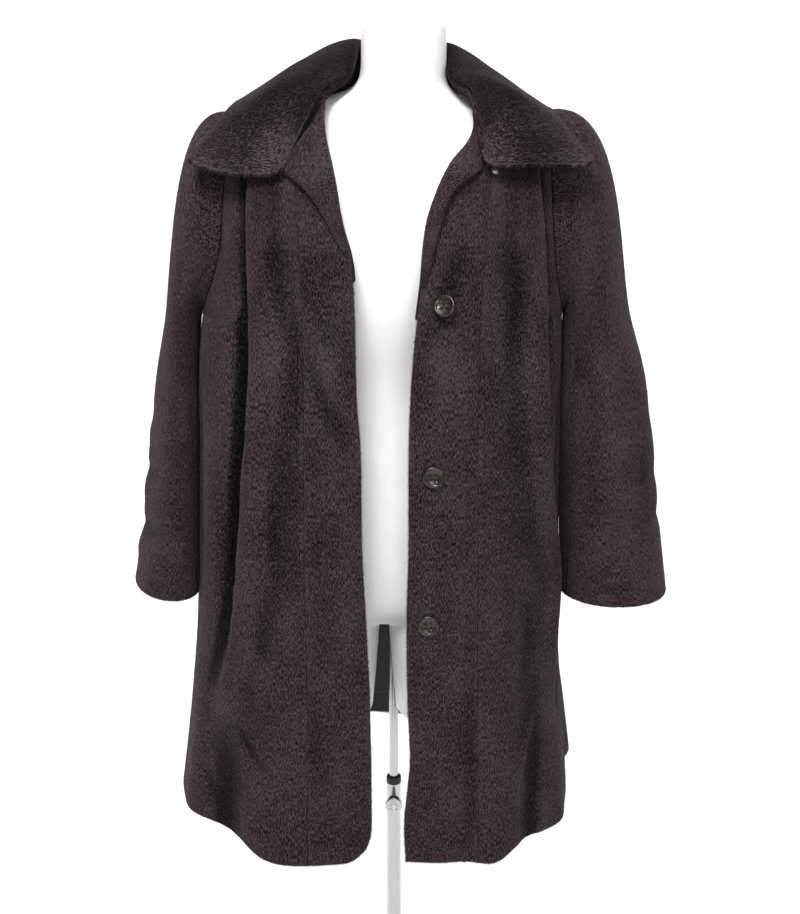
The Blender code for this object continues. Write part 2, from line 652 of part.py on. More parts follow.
def lapel_knots(side):
    """Five knots for each rib: inside the front's edge, round the roll, on the front, at the free edge."""
    ribs = []
    for z, free_x, free_z in LAPEL[side]:
        z, free_x, free_z = z * MM, free_x * MM, free_z * MM
        edge = EDGE[side].read("x", z)
        broad = free_x - edge

        def at(x, height, lift):
            cell = (side, *spot(side, x, height))
            return body_point(*cell) + body_normal(*cell) * lift

        full = min(max(broad / 0.014, 0.55), 1)       # narrow ends lie flatter
        start = at(edge - 0.0040, z, -0.0026)
        nose = at(edge - 0.0058, z, 0.0022 * full)
        top = at(edge - 0.0014 - 0.003 * (1 - full), z, (0.0080 + 0.03 * broad) * full)
        middle = at(edge + broad * 0.55, z + (free_z - z) * 0.55, (0.0078 + 0.05 * broad) * full)
        rim = at(free_x, free_z, 0.0064 * full - 0.0007)
        ribs.append([start, nose, top, middle, rim])
    return ribs


def make_lapel(side):
    ribs = lapel_knots(side)
    count = len(ribs) - 1

    def point(s, t):
        knots = [curve([rib[k] for rib in ribs], min(max(s, 0), 1)) for k in range(5)]
        return curve(knots, min(max(t, 0), 1))

    def normal(s, t):
        e = 4e-3
        a = point(min(s + e, 1), t) - point(max(s - e, 0), t)
        b = point(s, min(t + e, 1)) - point(s, max(t - e, 0))
        return a.cross(b).normalized() * side

    grid = []
    for t in (0, 0.16, 0.32, 0.46, 0.64, 1.0):
        row = []
        for k in range(count + 1):
            p, n = point(k / count, t), normal(k / count, t)
            row.append((p, p - n * WALL))
        grid.append(row)
    sheet(f"lapel_{NAME[side]}", grid, WOOL_TURNED)


# ---------------------------------------------------------------- lining, buttons, stud
def make_lining(side):
    """Half of the back skirt's lining, from the side seam to the middle, just inside the back."""
    turns = spread([math.pi / 2, math.pi], [BACK_STEPS])[:-1] + [LINING_END]
    rows = [[(side, t, r) for t in turns] for r in LOW_ROWS[1:7]]
    grid = wall_grid(rows, body_point, body_normal, LINING, -(WALL + GAP + 0.0003))
    sheet(f"lining_{NAME[side]}", grid, SATIN)


def make_button(index, x, z):
    cell = (LEFT, *spot(LEFT, x * MM, z * MM))
    out = body_normal(*cell)
    seat = body_point(*cell) + out * (GAP + 0.0001)
    turn = Vector((0, 0, 1)).rotation_difference(out).to_matrix().to_4x4()
    place = Matrix.Translation(seat) @ turn
    r, h = BUTTON_R, BUTTON_T
    profile = [(0, 0), (r * 0.82, 0), (r, h * 0.45), (r * 0.96, h * 0.88), (r * 0.88, h),
               (r * 0.72, h * 0.68), (0, h * 0.60)]
    button = turned(f"button_{index}", profile, HORN, 20, place)
    for k in range(4):
        angle = math.pi / 4 + k * math.pi / 2
        bm = bmesh.new()
        bmesh.ops.create_cone(bm, cap_ends=True, segments=6, radius1=r * 0.10, radius2=r * 0.10, depth=0.02)
        hole = finish(f"button_{index}_hole_{k + 1}", bm, HORN)
        hole.matrix_world = place @ Matrix.Translation((r * 0.20 * math.cos(angle) * 1.414,
                                                        r * 0.20 * math.sin(angle) * 1.414, 0))
        hole.hide_render = True
        hole.display_type = "WIRE"
        cut = button.modifiers.new(f"hole_{k + 1}", "BOOLEAN")
        cut.operation = "DIFFERENCE"
        cut.object = hole


def make_stud():
    """The press stud's cap on the wearer's left front, just under the collar."""
    cell = (LEFT, *spot(LEFT, STUD[0] * MM, STUD[1] * MM))
    out = body_normal(*cell)
    place = (Matrix.Translation(body_point(*cell) + out * GAP)
             @ Vector((0, 0, 1)).rotation_difference(out).to_matrix().to_4x4())
    profile = [(0, 0), (0.0048, 0), (0.0050, 0.0004), (0.0044, 0.0010), (0.0028, 0.0016), (0, 0.0018)]
    turned("press_stud", profile, STEEL, 20, place)


# ---------------------------------------------------------------- form
def form_ring(z, count=24):
    half, front, back = FORM.read("half", z), FORM.read("front", z), FORM.read("back", z)
    middle, deep = (front + back) / 2, (back - front) / 2
    power = 2 / 2.3
    ring = []
    for k in range(count):
        a = 2 * math.pi * k / count
        s, c = math.sin(a), math.cos(a)
        ring.append(Vector((FORM.read("x", z) + half * math.copysign(abs(c) ** power, c),
                            middle + deep * math.copysign(abs(s) ** power, s), z)))
    return ring


def make_form():
    bm = bmesh.new()
    heights = (0.784, 0.84, 0.90, 0.96, 1.04, 1.10, 1.16, 1.21, 1.25, 1.29, 1.33, 1.36, 1.385,
               1.403, 1.417, 1.424, 1.436, 1.46, 1.505)
    rings = [form_ring(z) for z in heights]
    seat = rings[0]
    centre = sum(seat, Vector()) / len(seat)
    under = [[centre + (p - centre) * f - Vector((0, 0, d)) for p in seat]
             for f, d in ((0.55, 0.028), (0.86, 0.016))]
    loft(bm, under + rings)
    form = finish("form", bm, SHELL)
    for side in (RIGHT, LEFT):
        bm = bmesh.new()
        rings = []
        for z in (0.630, 0.642, 0.700, 0.760, 0.815):
            shrink = 0.93 if z < 0.635 else 1.0
            half, deep = THIGH.read("half", z) * shrink, THIGH.read("deep", z) * shrink
            rings.append([Vector((THIGH_MIDDLE + side * THIGH_OUT + half * math.cos(2 * math.pi * k / 20),
                                  THIGH_Y + deep * math.sin(2 * math.pi * k / 20), z)) for k in range(20)])
        loft(bm, rings)
        thigh = finish(f"thigh_{NAME[side]}", bm, SHELL)
        thigh.hide_render = True
        thigh.display_type = "WIRE"
        union = form.modifiers.new(f"thigh_{NAME[side]}", "BOOLEAN")
        union.operation = "UNION"
        union.object = thigh
    bm = bmesh.new()
    bmesh.ops.create_cone(bm, cap_ends=True, segments=20, radius1=MAST_R + 0.0004, radius2=MAST_R + 0.0004,
                          depth=0.2, matrix=Matrix.Translation((0, 0, MAST_TOP + GAP - 0.1)))
    socket = finish("socket", bm, SHELL)
    socket.hide_render = True
    socket.display_type = "WIRE"
    cut = form.modifiers.new("socket", "BOOLEAN")
    cut.operation = "DIFFERENCE"
    cut.object = socket


# ---------------------------------------------------------------- stand
def make_stand():
    turned("base", [(0, 0), (BASE_R - 0.002, 0), (BASE_R, 0.002), (BASE_R, BASE_T - 0.003),
                    (BASE_R - 0.003, BASE_T), (0.024, BASE_T), (0.021, BASE_T + 0.012), (0.0165, BASE_T + 0.016),
                    (TUBE_R + GAP, BASE_T + 0.016), (TUBE_R + GAP, BASE_T + 0.002), (0, BASE_T + 0.002)],
           STEEL, 36)
    bore = TUBE_R - 0.0014
    foot = BASE_T + 0.002 + GAP
    turned("outer_tube", [(TUBE_R, foot), (TUBE_R, RING_Z - 0.006), (bore, RING_Z - 0.006), (bore, foot)],
           CHROME, 20)
    lip = MAST_R + 0.0004
    turned("tube_ring", [(lip, RING_Z - 0.006 + GAP), (TUBE_R + 0.0003, RING_Z - 0.006 + GAP),
                         (TUBE_R + 0.0008, RING_Z - 0.004), (TUBE_R + 0.0005, RING_Z + 0.002),
                         (TUBE_R - 0.0010, RING_Z + 0.005), (lip, RING_Z + 0.005)], RUBBER, 20)
    turned("inner_tube", [(MAST_R, MAST_FOOT), (MAST_R, MAST_TOP - 0.0006), (MAST_R - 0.0006, MAST_TOP),
                          (MAST_R - 0.0015, MAST_TOP), (MAST_R - 0.0015, MAST_FOOT)], CHROME, 20)
    place = Matrix.Translation((0, -(TUBE_R + GAP), KNOB_Z)) @ Matrix.Rotation(math.pi / 2, 4, "X")
    turned("clamp_knob", [(0, 0), (0.0052, 0), (0.0052, 0.008), (0.0108, 0.0085), (0.0120, 0.0098),
                          (0.0120, 0.0165), (0.0108, 0.0182), (0.0060, 0.0190), (0, 0.0190)], CHROME, 16, place)


clear_scene()
KNOTS = {side: rib_knots(side) for side in (RIGHT, LEFT)}
for SIDE in (RIGHT, LEFT):
    make_panels(SIDE)
    make_sleeve(SIDE)
    make_lapel(SIDE)
    make_lining(SIDE)
make_collar()
for number, (across, height) in enumerate(BUTTONS, 1):
    make_button(number, across, height)
make_stud()
make_form()
make_stand()
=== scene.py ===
# %% [markdown]
# # A wool coat on a dress form
# A brushed wool coat hangs open on a white torso form that stands on a telescopic pole. The packed
# model gives every piece its place, so this lesson only has to make the cloth, the horn, the
# shell and the metal look right around it.

# %% Load the frame
import math
from functools import lru_cache

import bmesh
import bpy
import numpy as np
from mathutils import Matrix, Vector


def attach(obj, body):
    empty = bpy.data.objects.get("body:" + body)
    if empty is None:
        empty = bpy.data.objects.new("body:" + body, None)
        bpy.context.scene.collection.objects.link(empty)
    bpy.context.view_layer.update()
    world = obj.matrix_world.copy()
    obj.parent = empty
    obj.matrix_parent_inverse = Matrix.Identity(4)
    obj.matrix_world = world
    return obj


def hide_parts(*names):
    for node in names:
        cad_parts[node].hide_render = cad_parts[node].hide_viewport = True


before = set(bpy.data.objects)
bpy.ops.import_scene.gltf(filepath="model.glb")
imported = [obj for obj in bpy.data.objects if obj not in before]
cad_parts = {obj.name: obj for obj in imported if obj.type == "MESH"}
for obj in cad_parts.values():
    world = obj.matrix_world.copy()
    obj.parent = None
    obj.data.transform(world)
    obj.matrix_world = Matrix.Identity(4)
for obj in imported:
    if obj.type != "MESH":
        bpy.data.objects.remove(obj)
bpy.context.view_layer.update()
CLOTH_BODY = "dressed_form"
MM = 0.001
print("frame holds", len(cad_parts), "nodes")

# %% [markdown]
# The camera comes first, because every later choice is judged through it. The picture was taken
# from chest height, looking down a little, with a normal lens on the long side of the frame.
# The view transform is the plain one, so that a white backdrop stays white.

# %% Camera
CAMERA_PLACE = (0.0087, -1.695, 1.45)
CAMERA_PITCH = math.radians(90 - 16)
LENS = 53.17

eye = bpy.data.cameras.new("eye")
eye.lens = LENS
eye.sensor_width = 36
camera = bpy.data.objects.new("eye", eye)
camera.location = CAMERA_PLACE
camera.rotation_euler = (CAMERA_PITCH, 0, 0)
bpy.context.collection.objects.link(camera)
bpy.context.scene.camera = camera
bpy.context.scene.view_settings.view_transform = "Standard"
print("camera at", CAMERA_PLACE)

# %% [markdown]
# Shader maths reads best as plain Python. `Wire` wraps a socket, so that `1 - mask * 0.5` adds the
# Math nodes by itself, and `Finish` starts a material and adds any other node by its type, its
# settings and its sockets.


# %% A small language for materials
class Wire:
    """An output of a shader node that Python's own signs work on."""

    def __init__(self, finish, socket):
        self.finish, self.socket = finish, socket

    def maths(self, operation, first, second=0.0):
        return self.finish.node("ShaderNodeMath", {"operation": operation}, {0: first, 1: second})

    def __add__(self, other):
        return self.maths("ADD", self, other)

    def __mul__(self, other):
        return self.maths("MULTIPLY", self, other)

    def __sub__(self, other):
        return self.maths("SUBTRACT", self, other)

    def __rsub__(self, other):
        return self.maths("SUBTRACT", other, self)

    def __truediv__(self, other):
        return self.maths("DIVIDE", self, other)

    def __rtruediv__(self, other):
        return self.maths("DIVIDE", other, self)

    def __pow__(self, other):
        return self.maths("POWER", self, other)

    __radd__ = __add__
    __rmul__ = __mul__

    def between(self, low, high):
        """0 below low, 1 above high, and a soft step from one to the other."""
        return self.finish.node("ShaderNodeMapRange", {"interpolation_type": "SMOOTHSTEP"},
                                {"Value": self, "From Min": low, "From Max": high})


class Finish:
    """A material built round one Principled shader."""

    def __init__(self, name, **constants):
        self.material = bpy.data.materials.new(name)
        self.material.use_nodes = True
        self.tree = self.material.node_tree
        self.shader = self.tree.nodes["Principled BSDF"]
        for key, value in constants.items():
            self.shader.inputs[key.replace("_", " ")].default_value = value

    def node(self, kind, settings=None, sockets=None, out=0):
        node = self.tree.nodes.new(kind)
        for key, value in (settings or {}).items():
            if key == "stops":
                for stop, (place, shade) in zip(self.ramp_stops(node, len(value)), value):
                    stop.position, stop.color = place, (*shade, 1)
            else:
                setattr(node, key, value)
        for key, value in (sockets or {}).items():
            if isinstance(value, Wire):
                self.tree.links.new(value.socket, node.inputs[key])
            else:
                node.inputs[key].default_value = value
        return Wire(self, node.outputs[out])

    def ramp_stops(self, node, count):
        stops = node.color_ramp.elements
        while len(stops) < count:
            stops.new(0.5)
        return stops

    def feed(self, **wires):
        for key, wire in wires.items():
            self.tree.links.new(wire.socket, self.shader.inputs[key.replace("_", " ")])
        return self.material

    def object_place(self):
        return self.node("ShaderNodeTexCoord", out="Object")

    def cloth_place(self):
        return self.node("ShaderNodeTexCoord", out="UV")

    def noise(self, place, size, detail=2.0, rough=0.5):
        """Noise whose grains are size (x, y, z) metres; a single number gives round grains."""
        size = size if isinstance(size, tuple) else (size, size, size)
        scaled = self.node("ShaderNodeMapping", {}, {"Vector": place, "Scale": tuple(1 / s for s in size)})
        return self.node("ShaderNodeTexNoise", {}, {"Vector": scaled, "Scale": 1.0, "Detail": detail,
                                                    "Roughness": rough})

    def ramp(self, value, *stops):
        return self.node("ShaderNodeValToRGB", {"stops": stops}, {"Fac": value})

    def bump(self, height, depth, strength=1.0):
        return self.node("ShaderNodeBump", {}, {"Height": height, "Distance": depth, "Strength": strength})


print("materials are written as", Wire.__name__, "and", Finish.__name__)

# %% [markdown]
# Brushed wool is nearly black at the roots, and each hair catches a little light at its tip. Three noises in
# the cloth's own coordinates give the hairs, the small tufts they gather in and the broad patches where the
# nap lies another way. Sheen gives the soft light rim at every fold. The colour also holds painted shade: it
# is darker where the cloth lies deep in a fold and a little lighter on the ridges.


# %% Wool, satin and hair finishes
HAIR_SIZE = (0.0012, 0.0044, 1.0)
TUFT_SIZE = (0.0050, 0.0120, 1.0)
PATCH_SIZE = (0.050, 0.110, 1.0)
# How strongly painted shade darkens the wool in the valleys of the folds.
FOLD_SHADE_PAINT = 0.75


def wool_finish():
    wool = Finish("wool_cloth", Roughness=0.95, Sheen_Weight=0.07, Sheen_Roughness=0.40,
                  Specular_IOR_Level=0.06)
    wool.shader.inputs["Sheen Tint"].default_value = (0.80, 0.66, 0.72, 1)
    place = wool.cloth_place()
    hairs = wool.noise(place, HAIR_SIZE, 2.0, 0.6)
    tufts = wool.noise(place, TUFT_SIZE, 2.0)
    patches = wool.noise(place, PATCH_SIZE, 1.0)
    hollow = wool.node("ShaderNodeAttribute", {"attribute_name": "hollow"}, {}, "Fac")
    # Painted shade: the last term darkens the colour deep in the folds and lifts it a little on ridges.
    light = hairs * 0.80 + tufts * 0.16 + patches * 0.19 - 0.04 + (0.5 - hollow) * FOLD_SHADE_PAINT
    brown = wool.ramp(light, (0.40, (0.0014, 0.0008, 0.0010)), (0.50, (0.0064, 0.0043, 0.0049)),
                      (0.59, (0.0245, 0.0175, 0.0194)), (0.71, (0.0690, 0.0456, 0.0489)))
    grey = wool.ramp(light, (0.40, (0.0013, 0.0009, 0.0010)), (0.50, (0.0062, 0.0047, 0.0053)),
                     (0.59, (0.0235, 0.0189, 0.0211)), (0.71, (0.0655, 0.0474, 0.0517)))
    colour = wool.node("ShaderNodeMix", {"data_type": "RGBA"},
                       {0: patches.between(0.42, 0.60), 6: brown, 7: grey}, 2)
    return wool.feed(Base_Color=colour, Normal=wool.bump(hairs * 0.6 + tufts * 0.8, 0.0020, 0.9))


def hair_finish():
    hair = Finish("wool_hair", Roughness=0.55, Specular_IOR_Level=0.35)
    # The per-hair number is a random paleness with painted shade from the folds multiplied in.
    shade = hair.node("ShaderNodeAttribute", {"attribute_name": "shade"}, {}, "Fac")
    colour = hair.ramp(shade, (0.0, (0.0045, 0.0032, 0.0037)), (0.55, (0.014, 0.0105, 0.0118)),
                       (0.85, (0.040, 0.033, 0.036)), (1.0, (0.10, 0.088, 0.092)))
    return hair.feed(Base_Color=colour)


def satin_finish():
    satin = Finish("satin_lining", Specular_IOR_Level=0.22)
    place = satin.cloth_place()
    threads = satin.noise(place, (0.0004, 0.006, 1.0), 2.0)
    ripples = satin.noise(place, (0.020, 0.060, 1.0), 2.0)
    colour = satin.ramp(threads, (0.3, (0.0016, 0.0015, 0.0019)), (0.7, (0.0042, 0.0037, 0.0047)))
    return satin.feed(Base_Color=colour, Roughness=0.34 + threads * 0.16,
                      Normal=satin.bump(ripples * 0.8 + threads * 0.1, 0.004, 0.6))


WOOL = wool_finish()
HAIR = hair_finish()
SATIN = satin_finish()
print("cloth finishes:", WOOL.name, HAIR.name, SATIN.name)

# %% [markdown]
# A garment is a few smooth tables bent round a body. `Table` reads rows of millimetres with named
# columns as a smooth curve, so that a dozen measured heights describe the whole coat.


# %% Tables of sizes
class Table:
    """Rows of millimetres with named columns, read as a smooth curve of the first column."""

    def __init__(self, columns, rows):
        self.columns = columns.split()
        self.rows = sorted([v * MM for v in row] for row in rows)

    def read(self, name, at):
        c = self.columns.index(name)
        rows = self.rows
        if at <= rows[0][0]:
            return rows[0][c]
        if at >= rows[-1][0]:
            return rows[-1][c]
        i = max(k for k in range(len(rows) - 1) if rows[k][0] <= at)
        h = rows[i + 1][0] - rows[i][0]
        t = (at - rows[i][0]) / h
        slope = []
        for k in (i, i + 1):
            a, b = rows[max(k - 1, 0)], rows[min(k + 1, len(rows) - 1)]
            slope.append((b[c] - a[c]) / (b[0] - a[0]))
        return ((2 * t**3 - 3 * t**2 + 1) * rows[i][c] + (t**3 - 2 * t**2 + t) * h * slope[0]
                + (3 * t**2 - 2 * t**3) * rows[i + 1][c] + (t**3 - t**2) * h * slope[1])


RIGHT, LEFT = -1, 1
NAME = {RIGHT: "right", LEFT: "left"}
FRONT, BACK = 1, -1
HEM_Z = 0.500
ARCH_Z = 1.250
SHOULDER_Y, SHOULDER_TOP, SHOULDER_SLOPE = -0.033, 1.448, 0.24
NECK_X, NECK_HALF, NECK_DEEP = 0.008, 0.086, 0.078
ROUNDNESS, FRONT_ARCH, BACK_ARCH = 2 / 2.4, 2 / 1.8, 2 / 2.6
ARMHOLE_TURN = math.radians(21)
ARC = 0.20

BODY = Table("z right left middle front back", [
    (500, 292, 238, 0, 221, 190), (600, 277, 230, -7, 210, 176), (700, 264, 220, -15, 199, 162),
    (770, 257, 217, -19, 191, 156), (850, 253, 215, -24, 183, 150), (1000, 246, 212, -33, 169, 140),
    (1100, 240, 209, -37, 160, 136), (1170, 232, 207, -39, 152, 133), (1250, 215, 204, -40, 142, 128)])
print("the coat is", 2 * 250, "mm across at the side seams, read from", len(BODY.rows), "heights")

# %% [markdown]
# The front edges run straight up to the break and then turn away under the lapels. The princess
# seams cut each front in two, as a tailor does to shape it without darts.

# %% Edges and seams
EDGE = {
    RIGHT: Table("z x", [(500, 33), (540, 27), (720, 28), (820, 32), (910, 36), (1030, 37), (1090, 41),
                         (1190, 43), (1244, 47), (1288, 59), (1337, 69), (1369, 77), (1385, 81),
                         (1406, 82), (1430, 80)]),
    LEFT: Table("z x", [(500, 16), (555, 14), (600, 18), (640, 21), (720, 18), (820, 17), (910, 19),
                        (1020, 19), (1090, 21), (1157, 26), (1220, 34), (1257, 37), (1288, 42),
                        (1304, 47), (1321, 54), (1337, 62), (1353, 72), (1369, 86), (1383, 94),
                        (1395, 97), (1430, 95)])}
PRINCESS = {
    RIGHT: Table("z x", [(500, 105), (700, 103), (900, 104), (1140, 101), (1230, 104), (1330, 109),
                         (1430, 118)]),
    LEFT: Table("z x", [(500, 104), (900, 101), (1140, 100), (1330, 112), (1430, 126)])}
print("front edges and princess seams laid out for", ", ".join(NAME.values()))

# %% [markdown]
# Each fold follows a path up the cloth: its height on the body, its distance from the middle plane
# and how far it rises. Two widths give it a steep flank and a gentle one, and a lean tips its
# crest over the hollow beside it. The short ones are drags and dents that the heavy cloth keeps.


# %% Folds
def fold(side, face, path, inner, outer, lean=0.0):
    return dict(side=side, face=face, path=Table("z x rise", path), inner=inner * MM, outer=outer * MM,
                lean=lean * MM)


FOLDS = [
    fold(RIGHT, FRONT, [(660, 222, 0), (700, 212, 3), (790, 191, 9), (880, 178, 13), (970, 170, 13),
                        (1120, 156, 13), (1250, 156, 12), (1330, 158, 8), (1390, 158, 0)], 34, 9, 4),
    fold(RIGHT, FRONT, [(690, 232, 0), (730, 222, -5), (790, 207, -11), (880, 194, -18), (970, 187, -19),
                        (1120, 173, -19), (1250, 172, -15), (1330, 173, -8), (1390, 173, 0)], 12, 26),
    fold(LEFT, FRONT, [(640, 203, 0), (728, 200, 8), (809, 200, 11), (842, 200, 12), (880, 195, 12),
                       (965, 183, 12), (1066, 175, 12), (1224, 168, 11), (1332, 161, 8), (1390, 160, 0)],
         32, 9, 4),
    fold(LEFT, FRONT, [(640, 208, 0), (728, 207, -10), (842, 206, -16), (965, 196, -18), (1066, 188, -18),
                       (1224, 182, -16), (1332, 176, -8), (1390, 175, 0)], 9, 22),
    fold(RIGHT, FRONT, [(790, 252, 0), (850, 249, -6), (1000, 243, -6), (1100, 236, 0)], 30, 16),
    fold(LEFT, FRONT, [(780, 213, 0), (840, 212, -6), (1000, 209, -7), (1110, 205, 0)], 30, 18),
    fold(RIGHT, FRONT, [(500, 70, 3), (760, 66, 4), (1040, 66, 3), (1230, 76, 0)], 20, 24),
    fold(RIGHT, FRONT, [(500, 150, 7), (640, 148, 6), (800, 140, 3), (960, 132, 0)], 26, 28),
    fold(RIGHT, FRONT, [(500, 216, -8), (600, 212, -5), (680, 210, 0)], 26, 26),
    fold(RIGHT, FRONT, [(500, 262, 8), (600, 252, 6), (720, 244, 0)], 26, 30),
    fold(LEFT, FRONT, [(500, 60, 4), (700, 60, 4), (1000, 60, 3), (1200, 66, 0)], 22, 24),
    fold(LEFT, FRONT, [(500, 128, 7), (640, 130, 5), (820, 132, 2), (960, 132, 0)], 26, 24),
    fold(LEFT, FRONT, [(500, 178, -8), (600, 178, -6), (740, 176, 0)], 20, 18),
    fold(LEFT, FRONT, [(500, 214, 8), (620, 208, 5), (720, 204, 0)], 22, 26),
    fold(RIGHT, BACK, [(500, 262, 15), (700, 236, 8), (900, 220, 0)], 30, 26),
    fold(RIGHT, BACK, [(500, 208, -14), (720, 186, -7), (920, 170, 0)], 26, 26),
    fold(RIGHT, BACK, [(500, 142, 17), (720, 128, 10), (960, 112, 4), (1150, 104, 0)], 30, 30),
    fold(RIGHT, BACK, [(500, 72, -13), (720, 64, -7), (960, 58, 0)], 26, 26),
    fold(LEFT, BACK, [(500, 229, 26), (600, 220, 20), (740, 207, 9), (880, 200, 0)], 30, 26),
    fold(LEFT, BACK, [(500, 172, -14), (720, 156, -7), (920, 146, 0)], 24, 26),
    fold(LEFT, BACK, [(500, 116, 17), (720, 104, 10), (960, 96, 4), (1150, 92, 0)], 28, 28),
    fold(LEFT, BACK, [(500, 54, -11), (720, 50, -6), (960, 48, 0)], 24, 24),
]

SMALL_FOLDS = [
    # drags from the princess seam to the front edge, and the slack beside them
    fold(RIGHT, FRONT, [(1060, 60, 0), (1110, 76, 1.6), (1160, 92, 1.6), (1200, 98, 0)], 9, 9),
    fold(RIGHT, FRONT, [(1010, 52, 0), (1060, 66, -1.8), (1120, 84, -1.4), (1160, 94, 0)], 10, 10),
    fold(RIGHT, FRONT, [(1180, 128, 0), (1240, 132, -2.2), (1320, 134, -1.5), (1370, 132, 0)], 10, 12),
    fold(RIGHT, FRONT, [(860, 140, 0), (930, 146, -2.0), (1010, 142, -1.6), (1080, 140, 0)], 12, 14),
    fold(RIGHT, FRONT, [(560, 128, 0), (600, 150, -2.2), (640, 176, -2.4), (670, 196, 0)], 10, 10),
    fold(RIGHT, FRONT, [(600, 110, 0), (640, 128, 1.8), (670, 150, 0)], 9, 9),
    fold(RIGHT, FRONT, [(505, 186, 0), (560, 182, 2.6), (620, 178, 0)], 9, 9),
    fold(RIGHT, FRONT, [(720, 150, 0), (790, 158, -1.8), (850, 152, 0)], 12, 12),
    fold(RIGHT, FRONT, [(540, 232, 0), (580, 240, -2.4), (610, 252, 0)], 9, 9),
    fold(LEFT, FRONT, [(1140, 44, 0), (1200, 62, -1.8), (1260, 78, -1.6), (1300, 86, 0)], 12, 12),
    fold(LEFT, FRONT, [(1080, 130, 0), (1160, 138, -2.0), (1260, 134, -1.6), (1330, 138, 0)], 12, 14),
    fold(LEFT, FRONT, [(880, 78, 0), (900, 100, 1.6), (905, 126, 0)], 8, 8),
    fold(LEFT, FRONT, [(560, 146, 0), (600, 158, 2.2), (640, 168, 2.4), (690, 180, 0)], 9, 9),
    fold(LEFT, FRONT, [(530, 118, 0), (575, 140, -2.4), (620, 156, 0)], 10, 10),
    fold(LEFT, FRONT, [(540, 44, 0), (600, 52, -1.6), (680, 50, 0)], 12, 12),
    fold(LEFT, FRONT, [(700, 160, 0), (770, 166, -2.0), (860, 160, 0)], 12, 12),
    # slack across the shoulder blades and above the back hem
    fold(RIGHT, BACK, [(1120, 150, 0), (1190, 140, -3), (1260, 124, 0)], 16, 16),
    fold(LEFT, BACK, [(1110, 142, 0), (1180, 134, -3), (1250, 118, 0)], 16, 16),
    fold(RIGHT, BACK, [(860, 60, 0), (930, 74, -2.4), (990, 84, 0)], 14, 14),
    fold(LEFT, BACK, [(900, 40, 0), (960, 58, -2.2), (1020, 66, 0)], 14, 14),
    fold(RIGHT, BACK, [(540, 176, 0), (600, 168, 3.0), (680, 156, 0)], 12, 12),
    fold(LEFT, BACK, [(560, 84, 0), (640, 78, 2.6), (720, 74, 0)], 12, 12),
]
print(len(FOLDS), "hanging folds and", len(SMALL_FOLDS), "small ones")

# %% [markdown]
# The body's surface is asked for by side, turn and row: a turn of 0 is the middle front and pi the
# middle back; a row of 0 is the hem, 1 is where the cloth starts to close over the shoulder, and 2
# is the shoulder seam. Folds are then laid on along the surface's own outward direction.


# %% The body's surface
def split_row(r):
    return HEM_Z + min(r, 1) * (ARCH_Z - HEM_Z), max(r - 1, 0) * math.pi / 2


def row_at(z):
    return (z - HEM_Z) / (ARCH_Z - HEM_Z)


def shoulder_z(x):
    return SHOULDER_TOP - SHOULDER_SLOPE * max(abs(x), 0.07)


def half_width(side, r):
    z, arch = split_row(r)
    return BODY.read(NAME[side], z) * (1 - 0.05 * math.sin(arch))


def base_point(side, turn, r):
    z, arch = split_row(r)
    s, c = math.sin(turn), math.cos(turn)
    x = half_width(side, r) * abs(s) ** ROUNDNESS
    depth = -BODY.read("front", z) if c > 0 else BODY.read("back", z)
    y = BODY.read("middle", z) + depth * abs(c) ** ROUNDNESS
    if arch > 0:
        q = min(max((turn - math.pi / 2) / (2 * ARMHOLE_TURN) + 0.5, 0), 1)
        bend = FRONT_ARCH + (BACK_ARCH - FRONT_ARCH) * q * q * (3 - 2 * q)
        y = SHOULDER_Y + (y - SHOULDER_Y) * max(math.cos(arch), 0) ** bend
        z = ARCH_Z + (shoulder_z(x) - ARCH_Z) * math.sin(arch) ** bend
    return Vector((side * x * (1 if s >= 0 else -1), y, z))


def turn_of_x(side, x, r, face=FRONT):
    ratio = min(max(x, 0.0) / half_width(side, r), 1.0)
    turn = math.asin(min(ratio ** (1 / ROUNDNESS), 1.0))
    return turn if face == FRONT else math.pi - turn


@lru_cache(maxsize=None)
def body_point(side, turn, r, small=True):
    p = base_point(side, turn, r)
    face = FRONT if turn < math.pi / 2 else BACK
    rise = slide = 0.0
    for f in FOLDS + SMALL_FOLDS * small:
        if f["side"] != side or (f["face"] != face and abs(turn - math.pi / 2) > 0.5):
            continue
        path = f["path"]
        if not path.rows[0][0] < p.z < path.rows[-1][0] and p.z > HEM_Z + 0.001:
            continue
        height = path.read("rise", p.z)
        away = (turn - turn_of_x(side, path.read("x", p.z), r, f["face"])) * ARC
        reach = f["outer"] if away * f["face"] > 0 else f["inner"]
        bell = math.exp(-(away / reach) ** 2)
        rise += height * bell
        slide += f["lean"] * bell * min(abs(height) / 0.012, 1) * f["face"]
    if abs(rise) < 1e-6 and abs(slide) < 1e-6:
        return p
    e = 1e-3
    along = base_point(side, turn + e, r) - base_point(side, turn - e, r)
    up = base_point(side, turn, min(r + e, 1.99)) - base_point(side, turn, min(r, 1.99) - e)
    out = along.cross(up) * side
    return p + out.normalized() * rise + along.normalized() * slide


def body_normal(side, turn, r):
    e = 2e-3
    r = min(r, 1.93)
    across = body_point(side, turn + e, r) - body_point(side, turn - e, r)
    up = body_point(side, turn, r + e) - body_point(side, turn, r - e)
    return across.cross(up).normalized() * side


def spot(side, x, z):
    """The turn and row of the front surface at a distance x from the middle plane and a height z."""
    if z <= ARCH_Z:
        r = row_at(z)
    else:
        s = min((z - ARCH_Z) / (shoulder_z(x) - ARCH_Z), 1.0)
        r = 1 + math.asin(s ** (1 / FRONT_ARCH)) * 2 / math.pi
    return turn_of_x(side, x, r), r


print("middle of the back at the hem:", [round(v, 3) for v in body_point(RIGHT, math.pi, 0)])

